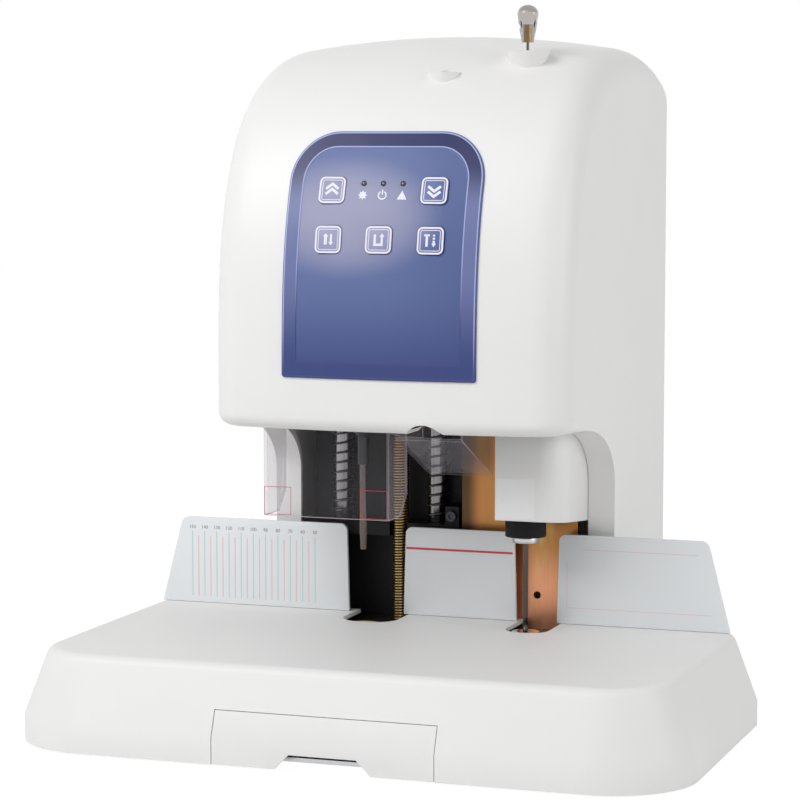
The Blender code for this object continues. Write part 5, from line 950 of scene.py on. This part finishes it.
class RIVETER_OT_panel(bpy.types.Operator):
    """Control panel film with its raised rim, the painted highlight lines along the rim, its lamps and their symbols"""

    bl_idname = "riveter.panel"
    bl_label = "Control panel"

    def execute(self, context):
        settings = context.scene.riveter_panel
        line, rim, margin = settings.line, settings.rim, 0.0010
        self.make_film(rim)
        # The outer and inner lines are painted highlights along the rim's edges, and the band between them carries a
        # painted sheen.
        for name, inset, width, finish in (
            ("rim_highlight_outer", margin, line, "edge_highlight"), ("rim_band_sheen", margin + line, rim - line, "rim"),
            ("rim_highlight_inner", margin + rim, line, "rim_highlight"),
        ):
            piece(name, ribbon_on_face(inset, width, PANEL_PROUD - 0.0001, 0.00016), finish)
        self.make_lamps()
        return {"FINISHED"}

    def make_film(self, rim):
        """Rings shrink from the outline to the middle; the lift rises over the edge, sinks at the rim's inner line."""
        outline = panel_outline()
        middle = np.array([PANEL_X, (PANEL_LOW_Z + PANEL_HIGH_Z) / 2])
        insets = np.array([0, 0.0003, 0.0012, 0.0025, rim, rim + 0.0008])
        lifts = PANEL_PROUD + np.array([-0.0009, -0.0002, 0, 0, 0, -0.00025])
        rings = [on_head(panel_outline(-inset), lift) for inset, lift in zip(insets, lifts)]
        shares = np.linspace(0, 1, 26)[:, None, None]
        field = on_head(middle + (panel_outline(-insets[-1]) - middle) * shares[::-1][1:], lifts[-1])
        under = on_head(middle + (outline - middle) * shares, CLEAR)
        film = sheet_mesh(np.concatenate([np.stack(rings), field, under]), wrap_rows=True, caps=False)
        lamps = face_frame(PANEL_X, UPPER_ROW_Z + LAMP_RISE)
        holes = [placed(turned_mesh(rod(0.0021, -0.005, 0.005), 0, 0, 24), lamps @ Matrix.Translation(
            (step * LAMP_PITCH, 0, 0))) for step in (-1, 0, 1)]
        piece("panel_skin", carved(film, ("cut", *key_holes(KEY_THICK), *holes)), "panel",
              replaces=["control_panel"], angle=30)

    def make_lamps(self):
        """Domed dark lenses on the bar behind the face, and a plain symbol under each."""
        place = face_frame(PANEL_X, UPPER_ROW_Z + LAMP_RISE)
        top, radius, behind, thick = PANEL_PROUD + 0.0004, 0.0018, -0.0052, 0.002
        bar = placed(box_mesh((-0.018, -0.0036, behind - thick), (0.018, 0.0036, behind)), place)
        dome = arc((0, top - radius * 0.6), radius, 90, 0, 6) * (1, 0.6) + (0, (top - radius * 0.6) * 0.4)
        profile = np.concatenate([dome, [(radius, behind - thick / 2), (0, behind - thick / 2)]])
        profile[0, 0] = 0
        lenses = [placed(turned_mesh(profile, 0, 0, 24), place @ Matrix.Translation(
            (step * LAMP_PITCH, 0, 0))) for step in (-1, 0, 1)]
        piece("lamp_lenses", carved(bar, ("add", *lenses)), "lamp", replaces=["indicator_lenses"])
        triangle = [np.array([(-0.0036, -0.0030), (0.0036, -0.0030), (0, 0.0034)])]
        plates = []
        for step, outlines in ((-1, sun_mark()), (0, power_mark()), (1, triangle)):
            spot = face_frame(PANEL_X + step * LAMP_PITCH, UPPER_ROW_Z - 0.0035)
            plates += [placed(slab_mesh(outline, PANEL_PROUD - 0.0003, PANEL_PROUD + 0.00002), spot)
                       for outline in outlines]
        piece("lamp_marks", joined(plates), "print_white")


def sun_mark():
    """A star of eight points round a disc."""
    angle = np.arange(16) / 16 * TURN
    radius = np.where(np.arange(16) % 2 == 0, 0.0036, 0.0021)
    return [np.stack([radius * np.cos(angle), radius * np.sin(angle)], -1)]


def power_mark():
    """An open ring with an upright bar in its gap."""
    ring = np.concatenate([arc((0, 0), 0.0033, 120, 420, 20), arc((0, 0), 0.0023, 420, 120, 20)])
    return [ring, np.array([(-0.0005, 0.0003), (0.0005, 0.0003), (0.0005, 0.0040), (-0.0005, 0.0040)])]


def stroke(points, width):
    """A polyline as a band of even width: each point is moved to both sides along the mitre of its two runs."""
    points = np.asarray(points, float)
    runs = np.diff(points, axis=0)
    runs /= np.linalg.norm(runs, axis=1)[:, None]
    sides = np.stack([-runs[:, 1], runs[:, 0]], -1)
    mitre = np.concatenate([sides[:1], sides[:-1] + sides[1:], sides[-1:]])
    shared = np.concatenate([[1], np.full(len(mitre) - 2, 2), [1]])[:, None]
    mitre /= np.maximum((mitre ** 2).sum(1), 1e-9)[:, None] / shared
    return np.concatenate([points + mitre * width / 2, (points - mitre * width / 2)[::-1]])


def arrow(x, foot, tip, shaft=0.0016, width=0.0036):
    """An upright arrow from its foot to its tip."""
    head, half = 0.0024 * (1 if tip > foot else -1), shaft / 2
    return np.array([
        (x - half, foot), (x + half, foot), (x + half, tip - head), (x + width / 2, tip - head),
        (x, tip), (x - width / 2, tip - head), (x - half, tip - head)])


def chevrons(flip):
    """Two chevrons, one over the other."""
    return [stroke([(u, flip * (v + rise)) for u, v in ((-0.0046, -0.0022), (0, 0.0014), (0.0046, -0.0022))], 0.0019)
            for rise in (0.0030, -0.0008)]


def key_marks():
    """Symbol of each key in the key's own plane, as outlines."""
    corner = stroke([(-0.0026, 0.0038), (-0.0026, -0.0034), (0.0018, -0.0034)], 0.0018)
    dashes = [stroke([(x, high), (end, low)], width) for x, high, end, low, width in (
        (-0.0046, 0.0037, -0.0004, 0.0037, 0.0014), (-0.0025, 0.0032, -0.0025, -0.0042, 0.0018),
        (0.0026, 0.0042, 0.0026, 0.0030, 0.0016), (0.0026, 0.0022, 0.0026, 0.0008, 0.0016))]
    return {
        "up_button": chevrons(1),
        "down_button": chevrons(-1),
        "drill_button": [arrow(-0.0018, -0.0036, 0.0044, 0.0022, 0.0042), arrow(0.0022, 0.0038, -0.0042)],
        "reset_button": [corner, arrow(0.0026, -0.0043, 0.0046)],
        "rivet_button": [*dashes, arrow(0.0026, 0.0000, -0.0044)],
    }


class RIVETER_OT_keys(bpy.types.Operator):
    """Five film keys with a double outline and a symbol"""

    bl_idname = "riveter.keys"
    bl_label = "Keys"

    def execute(self, context):
        high = PANEL_PROUD + KEY_PROUD
        low = high - 0.0001
        for name, marks in key_marks().items():
            place = face_frame(*KEYS[name])
            cap = placed(slab_mesh(key_outline(), high - KEY_THICK, high - 0.00006), place)
            piece(name + "_cap", cap, "key", name, [name], bevel=0.0004)
            plates = [band_mesh(key_outline(out), key_outline(out - thin), low, high) for out, thin in (
                (-0.0002, 0.0013), (-0.0024, 0.0005))]
            plates += [slab_mesh(outline, low, high) for outline in marks]
            piece(name + "_print", placed(joined(plates), place), "print_white", name)
        return {"FINISHED"}


# Springs, threads and pulleys

def helix_mesh(x, y, low, high, radius, wire, curls, sides=10):
    """A wire round an upright helix: each ring of points lies across the helix's own direction.

    The ring is spanned by the direction away from the axis and by that crossed with the helix's direction.
    """
    angle = np.linspace(0, TURN * curls, int(curls * 28))[:, None]
    climb = (high - low - 2 * wire) / (TURN * curls)
    out = np.concatenate([np.cos(angle), np.sin(angle), 0 * angle], 1)
    path = out * (radius - wire) + np.array([x, y, low + wire]) + angle * np.array([0, 0, climb])
    along = np.concatenate([-np.sin(angle), np.cos(angle), 0 * angle + climb / (radius - wire)], 1)
    along /= np.linalg.norm(along, axis=1)[:, None]
    across = np.cross(along, out)
    ring = np.linspace(0, TURN, sides, endpoint=False)[None, :, None]
    return sheet_mesh(path[:, None] + wire * (np.cos(ring) * out[:, None] + np.sin(ring) * across[:, None]))


def thread_mesh(x, y, low, high, radius, depth, pitch, sides=28):
    """A thread: the radius falls by a flat-topped tooth of the height less the turn's share of a pitch."""
    z = np.linspace(low, high, int((high - low) / pitch * 8) + 1)[:, None]
    angle = np.linspace(0, TURN, sides, endpoint=False)[None]
    phase = (z / pitch - angle / TURN) % 1
    r = radius - depth * np.clip(np.abs(2 * phase - 1) * 1.8 - 0.4, 0, 1)
    return sheet_mesh(np.stack([x + r * np.cos(angle), y + r * np.sin(angle), z + 0 * angle], -1))


def pulley_mesh(x, y, low, radius, teeth):
    """A toothed pulley between two rims: the radius dips between the teeth by a smooth wave."""
    lip, height, rim_thick, depth = 0.0022, 0.011, 0.0012, 0.0007
    rim = radius + lip
    levels = np.array([0, 0, rim_thick, rim_thick, height - rim_thick, height - rim_thick, height, height])
    plain = np.array([0, rim, rim, radius, radius, rim, rim, 0])
    toothed = np.array([0, 0, 0, 1, 1, 0, 0, 0])
    angle = np.linspace(0, TURN, teeth * 8, endpoint=False)[:, None]
    r = plain[None] - toothed[None] * depth * (0.5 - 0.5 * np.cos(angle * teeth))
    grid = np.stack([x + r * np.cos(angle), y + r * np.sin(angle), low + levels[None] + 0 * angle], -1)
    return sheet_mesh(grid, wrap_rows=True, wrap_columns=False, caps=False)


class RIVETER_OT_drill(bpy.types.Operator):
    """Drill station: posts, springs, spindle, hollow drill, pad and what carries them"""

    bl_idname = "riveter.drill"
    bl_label = "Drill station"

    def execute(self, context):
        for side in ("left", "right"):
            x, y, radius, foot, top = stand("guide_post_" + side)
            turned("post_" + side, rod(radius, foot, top), (x, y), "post",
                   replaces=["guide_post_" + side], bevel=0.0004)
            _, _, radius, foot, top = stand("spring_" + side)
            coil = piece("coil_" + side, helix_mesh(x, y, foot, top, radius, 0.0007, 15), "spring",
                         replaces=["spring_" + side])
            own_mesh(coil)
        self.make_spindle()
        _, _, _, foot, top = stand("cutting_pad")
        dish = top - 0.0012
        turned("pad", [
            (0, dish), (0.0042, dish), (0.005, top - 0.0003), (0.0054, top), (0.0130, top), (0.0135, top - 0.0005),
            (0.0135, foot), (0, foot)], DRILL_AXIS, "pad", replaces=["cutting_pad"], sides=64)
        recolour(black_steel="back_plate cross_plate anvil_beam", aluminium="drill_carriage", brass="carriage_nut",
                 motor="drill_motor", steel="top_plate", chuck="clamp_bolt")
        return {"FINISHED"}

    def make_spindle(self):
        """Chuck with a groove, its sleeve and the hollow drill."""
        _, _, _, nose, top = stand("drill_chuck")
        shoulder, under, socket = 0.207, 0.2447, 0.2323
        turned("chuck", [
            (0, top), (0.005, top), (0.005, under), (0.008, under), (0.008, under - 0.010),
            (0.0076, under - 0.0105), (0.0076, under - 0.012), (0.008, under - 0.0125), (0.008, shoulder),
            (0.0038, shoulder - 0.0038), (0.0038, nose), (0.0031, nose), (0.0031, socket), (0, socket)],
            DRILL_AXIS, "chuck", "drill_spindle", ["drill_chuck"], bevel=0.0003)
        turned("chuck_sleeve", tube(0.0041, 0.00385, nose - 0.0002, nose + 0.020), DRILL_AXIS, "chuck",
               "drill_spindle")
        _, _, _, tip, top = stand("drill_bit")
        turned("hollow_drill", [
            (0.0028, top), (0.0028, tip + 0.012), (0.0026, tip + 0.010), (0.0022, tip), (0.0021, tip), (0.0021, top)],
            DRILL_AXIS, "needle", "drill_spindle", ["drill_bit"])


class RIVETER_OT_press(bpy.types.Operator):
    """Lead screw with its thread, pulleys, belt and press motor"""

    bl_idname = "riveter.press"
    bl_label = "Press drive"

    def execute(self, context):
        pulley_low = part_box("top_plate")[1].z + CLEAR
        pitch = context.scene.riveter_metal.thread_pitch
        screw = thread_mesh(
            *SCREW_AXIS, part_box("lead_screw")[0].z, pulley_low - CLEAR, SCREW_RADIUS, 0.0007, pitch)
        piece("screw_thread", screw, "thread", "lead_screw", ["lead_screw"])
        piece("screw_pulley", pulley_mesh(*SCREW_AXIS, pulley_low, 0.016, 32), "brass", "lead_screw")
        x, y, _, foot, _ = stand("motor_pulley")
        piece("small_pulley", pulley_mesh(x, y, pulley_low, 0.009, 18), "black_plastic", "motor_pulley",
              ["motor_pulley"])
        turned("small_shaft", rod(0.003, foot, pulley_low), (x, y), "steel_turned", "motor_pulley")
        recolour(rubber="drive_belt", motor="press_motor")
        return {"FINISHED"}


class RIVETER_OT_rivet(bpy.types.Operator):
    """Rivet station: plate, anvil, die, insulator, heater, slide and cover"""

    bl_idname = "riveter.rivet"
    bl_label = "Rivet station"

    def execute(self, context):
        bore = 0.0026
        for name, finish, body, slot in (
            ("die", "steel_turned", "rivet_head", "bright_steel"),
            ("insulator", "insulator", "rivet_head", "black_plastic"),
            ("anvil", "steel_turned", "machine", "bright_steel"),
        ):
            _, _, radius, foot, top = stand("rivet_" + name)
            turned(name, tube(radius, bore, foot, top), RIVET_AXIS, finish, body, ["rivet_" + name],
                   bevel=0.0004, sides=64)
        _, _, _, foot, top = stand("rivet_screw")
        piece("rivet_thread", thread_mesh(*RIVET_DRIVE, foot, top, RIVET_SCREW_RADIUS, 0.0008, 0.004, 20),
              "rivet_thread", "rivet_screw", ["rivet_screw"])
        self.make_cover()
        recolour(zinc="rivet_plate", aluminium="heater_block rivet_slide", motor="rivet_motor",
                 steel="rivet_rod_left rivet_rod_right")
        return {"FINISHED"}

    def make_cover(self):
        """White cover: a wall carried along a straight front, a round corner and a straight side."""
        low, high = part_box("rivet_head_cover")
        wall, corner, bottom, drop, under = 0.0025, 0.018, 0.150, 0.008, 0.13

        def path(inset):
            right, front, radius = high.x - inset, low.y + inset, corner - inset
            return np.concatenate([
                [(low.x, front)], arc((right - radius, front + radius), radius, 270, 360, 20), [(right, high.y)]])

        wedge = slab_mesh([
            (low.y - OVERRUN, under), (high.y + OVERRUN, under), (high.y + OVERRUN, bottom - drop),
            (low.y - OVERRUN, bottom)], low.x - OVERRUN, high.x + OVERRUN, "side")
        outline = np.concatenate([path(0), path(wall)[::-1]])
        mesh = carved(slab_mesh(outline, bottom - drop - 0.002, high.z), ("cut", wedge))
        piece("cover_skin", mesh, "shell", replaces=["rivet_head_cover"], bevel=0.0005)
        printed("cover_label", [(low.x + 0.0012, 0.1515, low.x + 0.0292, 0.1800)], low.y, "label")


class RIVETER_OT_needle(bpy.types.Operator):
    """Guide needle with its clear knob and gold insert"""

    bl_idname = "riveter.needle"
    bl_label = "Guide needle"

    def execute(self, context):
        _, _, _, tip, insert_top = stand("guide_needle")
        _, _, _, knob_foot, knob_top = stand("needle_knob")
        shaft, thin, shoulder, insert = 0.0019, 0.0010, 0.300, 0.0028
        turned("needle", [
            (0, knob_foot), (thin, knob_foot), (thin, shoulder), (shaft, shoulder - 0.002), (shaft, tip + 0.002),
            (shaft * 0.6, tip + 0.0004), (0, tip)], RIVET_AXIS, "needle", "guide_needle",
            ["guide_needle"], sides=32)
        turned("knob_insert", [
            (0, insert_top), (0.0022, insert_top), (insert, insert_top - 0.0006), (insert, knob_foot),
            (0, knob_foot)], RIVET_AXIS, "gold", "guide_needle", sides=40)
        self.make_knob(knob_foot, knob_top, insert_top)
        _, _, _, foot, top = stand("needle_bush")
        turned("bush", tube(0.0030, 0.0014, foot, top), RIVET_AXIS, "black_plastic",
               replaces=["needle_bush"])
        return {"FINISHED"}

    def make_knob(self, low, high, insert_top):
        """Knob: a cone that swells to a dome; ten flutes dip its radius by a wave round the axis."""
        radius, foot, shoulder, flutes, socket = 0.0075, 0.00425, 0.508, 10, 0.0031
        quarter = np.linspace(0, math.pi / 2, 12)[1:]
        height = np.concatenate([np.linspace(low, shoulder, 14), shoulder + (high - shoulder) * np.sin(quarter)])
        rise = np.clip((height - low) / (shoulder - low), 0, 1)
        over = np.clip((height - shoulder) / (high - shoulder), 0, 1)
        body = (foot + (radius - foot) * rise ** 0.9) * np.sqrt(np.clip(1 - over ** 2, 0, 1))
        dip = 0.07 * np.sin(np.pi * np.clip(rise, 0, 1)) * (1 - over)
        height = np.concatenate([[insert_top + CLEAR, insert_top + CLEAR, low], height])[None]
        body = np.concatenate([[0, socket, socket], body])[None]
        dip = np.concatenate([[0, 0, 0], dip])[None]
        angle = np.linspace(0, TURN, flutes * 8, endpoint=False)[:, None]
        r = body * (1 - dip * np.abs(np.cos(angle * flutes / 2)))
        grid = np.stack([RIVET_X + r * np.cos(angle), TOOL_Y + r * np.sin(angle), height + 0 * angle], -1)
        mesh = sheet_mesh(grid, wrap_rows=True, wrap_columns=False, caps=False)
        piece("knob", mesh, "knob", "guide_needle", ["needle_knob"])


class RIVETER_OT_clear(bpy.types.Operator):
    """Clear guard and clear tube tray, tube guide and cutter"""

    bl_idname = "riveter.clear"
    bl_label = "Clear pieces and tube feed"

    def execute(self, context):
        for node in ("safety_guard", "tube_tray"):
            self.make_sheet(node)
        low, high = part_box("safety_guard")
        foot, top, line, pane_y = low.z + 0.0010, low.z + 0.0215, 0.0004, FENCE_Y - 0.082
        for name, left, right in (
            ("film_left", low.x + 0.0005, low.x + 0.0212), ("film_right", high.x - 0.0220, high.x - 0.0008),
        ):
            outlined(name, (left, foot), (right, top), line, pane_y, "print_wine")
        recolour(aluminium="tube_guide", steel="cutter_arm")
        return {"FINISHED"}

    def make_sheet(self, node):
        """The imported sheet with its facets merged, and the edge finish on the faces that are narrow strips."""
        shape = bmesh.new()
        shape.from_mesh(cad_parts[node].data)
        bmesh.ops.remove_doubles(shape, verts=shape.verts, dist=1e-6)
        bmesh.ops.dissolve_limit(shape, angle_limit=0.01, verts=shape.verts, edges=shape.edges)
        mesh = bpy.data.meshes.new(node + "_sheet")
        shape.to_mesh(mesh)
        shape.free()
        mesh = piece(node + "_sheet", mesh, "clear", replaces=[node], bevel=0.0004).data
        mesh.materials.append(FINISHES["clear_edge"].material)
        narrow = 0.0023
        thin = [self.width(mesh, face) < narrow for face in mesh.polygons]
        mesh.polygons.foreach_set("material_index", np.array(thin, np.int32))

    def width(self, mesh, face):
        """Area over longest side: the width of a narrow strip."""
        corners = [mesh.vertices[i].co for i in face.vertices]
        longest = max((a - b).length for a, b in zip(corners, corners[1:] + corners[:1]))
        return face.area / max(longest, 1e-9)


class RIVETER_OT_rear(bpy.types.Operator):
    """Rear cover, inlet, rocker switch and the electrics behind it"""

    bl_idname = "riveter.rear"
    bl_label = "Rear and electrics"

    def execute(self, context):
        recolour(shell="rear_cover", black_plastic="power_inlet power_switch", aluminium="power_supply",
                 board="main_board")
        self.make_screws()
        return {"FINISHED"}

    def make_screws(self):
        """Low domed heads with crossed slots in the six screw places of the rear cover."""
        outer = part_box("rear_cover")[1].y
        side, rows = HOUSING_HALF - WALL - 0.012, (0.018, 0.165, CREST_Z - EDGE_FILLET - 0.024)
        profile = [(0, 0.0004), (0.0014, 0.0003), (0.0025, -0.0001), (0.0029, -0.0006), (0.0029, -0.0010), (0, -0.0010)]
        long, thin, deep = 0.0019, 0.00035, -0.0005
        slots = [box_mesh((-x, -y, deep), (x, y, OVERRUN)) for x, y in ((long, thin), (thin, long))]
        head = carved(turned_mesh(profile, 0, 0, 40), ("cut", *slots))
        upright = Matrix.Rotation(-math.pi / 2, 4, "X")
        piece("cover_screws", joined([
            placed(head.copy(), Matrix.Translation((x, outer, z)) @ upright) for x in (-side, side) for z in rows]),
            "steel_turned")


# Studio

class RIVETER_OT_stage(bpy.types.Operator):
    """Pale floor, white surroundings, soft lights and the camera"""

    bl_idname = "riveter.stage"
    bl_label = "Studio"

    def execute(self, context):
        scene = context.scene
        settings = scene.riveter_stage
        scene.view_settings.view_transform = "Standard"
        self.make_floor()
        self.make_sky(scene, settings.sky)
        self.make_light("key_light", (-1.1, -1.5, 1.7), 1.4, settings.key_power)
        self.make_light("fill_light", (2.2, -0.2, 0.8), 1.4, settings.fill_power)
        self.make_light("front_light", (-0.2, -1.9, 1.9), 1.6, settings.front_power)
        data = bpy.data.cameras.new("camera")
        data.lens = settings.lens
        data.clip_end = 20
        camera = thing("camera", data)
        camera.location = settings.camera_place
        camera.rotation_euler = (math.pi / 2 + settings.camera_tilt, 0, settings.camera_turn)
        scene.camera = camera
        return {"FINISHED"}

    def make_floor(self):
        """A wide level square; the camera sees it nearly white, and its shadow stays."""
        mesh = bpy.data.meshes.new("floor")
        mesh.from_pydata([(x, y, 0) for x, y in square(6.0)], [], [(0, 1, 2, 3)])
        floor = thing("floor", mesh)
        made = Finish("floor_white", (0.86, 0.86, 0.86), 0.9)
        seen, glossy = (made.node("ShaderNodeLightPath", {}, {}, ray) for ray in ("Is Camera Ray", "Is Glossy Ray"))
        glow = made.node("ShaderNodeEmission", {}, {"Color": (1, 1, 1, 1), "Strength": 1.12})
        made.surface((seen + glossy) * 0.86, made.solid, glow)
        mesh.materials.append(made.material)

    def make_sky(self, scene, strength):
        """Even grey light, and plain white for what the camera, gloss and clear plastic see."""
        scene.world = bpy.data.worlds.new("studio")
        scene.world.use_nodes = True
        tree = scene.world.node_tree
        plain, white = tree.nodes["Background"], tree.nodes.new("ShaderNodeBackground")
        for light, power in ((plain, strength), (white, 1.0)):
            light.inputs["Color"].default_value = (1, 1, 1, 1)
            light.inputs["Strength"].default_value = power
        path, mix = tree.nodes.new("ShaderNodeLightPath"), tree.nodes.new("ShaderNodeMixShader")
        seen = path.outputs["Is Camera Ray"]
        for ray in ("Is Glossy Ray", "Is Transmission Ray"):
            either = tree.nodes.new("ShaderNodeMath")
            either.operation = "MAXIMUM"
            tree.links.new(seen, either.inputs[0])
            tree.links.new(path.outputs[ray], either.inputs[1])
            seen = either.outputs[0]
        for socket, end in zip((seen, plain.outputs[0], white.outputs[0]), mix.inputs):
            tree.links.new(socket, end)
        tree.links.new(mix.outputs[0], tree.nodes["World Output"].inputs["Surface"])

    def make_light(self, name, place, size, power):
        data = bpy.data.lights.new(name, "AREA")
        data.shape, data.size, data.energy = "DISK", size, power
        light = thing(name, data)
        light.location = place
        light.rotation_euler = (Vector((0, 0, 0.25)) - Vector(place)).to_track_quat("-Z", "Y").to_euler()


class RIVETER_PT_panel(bpy.types.Panel):
    """Lists the pieces and their settings"""

    bl_idname = "RIVETER_PT_panel"
    bl_label = "Riveting machine"
    bl_space_type = "VIEW_3D"
    bl_region_type = "UI"
    bl_category = "Riveter"

    def draw(self, context):
        for group in GROUPS:
            box = self.layout.box()
            settings = getattr(context.scene, group)
            for name in settings.__annotations__:
                box.prop(settings, name)
        for operator in OPERATORS:
            self.layout.operator(operator.bl_idname)


GROUPS = {
    "riveter_shell": ShellSettings,
    "riveter_panel": PanelSettings,
    "riveter_metal": MetalSettings,
    "riveter_stage": StageSettings,
}
OPERATORS = (
    RIVETER_OT_stage, RIVETER_OT_base, RIVETER_OT_feet, RIVETER_OT_fence, RIVETER_OT_housing, RIVETER_OT_panel,
    RIVETER_OT_keys, RIVETER_OT_drill, RIVETER_OT_press, RIVETER_OT_rivet, RIVETER_OT_needle, RIVETER_OT_clear,
    RIVETER_OT_rear,
)


def register():
    for kind in (*GROUPS.values(), *OPERATORS, RIVETER_PT_panel):
        bpy.utils.register_class(kind)
    for name, kind in GROUPS.items():
        setattr(bpy.types.Scene, name, PointerProperty(type=kind))


def unregister():
    for name in GROUPS:
        delattr(bpy.types.Scene, name)
    for kind in (RIVETER_PT_panel, *reversed(OPERATORS), *GROUPS.values()):
        bpy.utils.unregister_class(kind)


def main():
    register()
    make_finishes(bpy.context.scene)
    for operator in OPERATORS:
        group, name = operator.bl_idname.split(".")
        getattr(getattr(bpy.ops, group), name)()


if __name__ == "__main__":
    main()
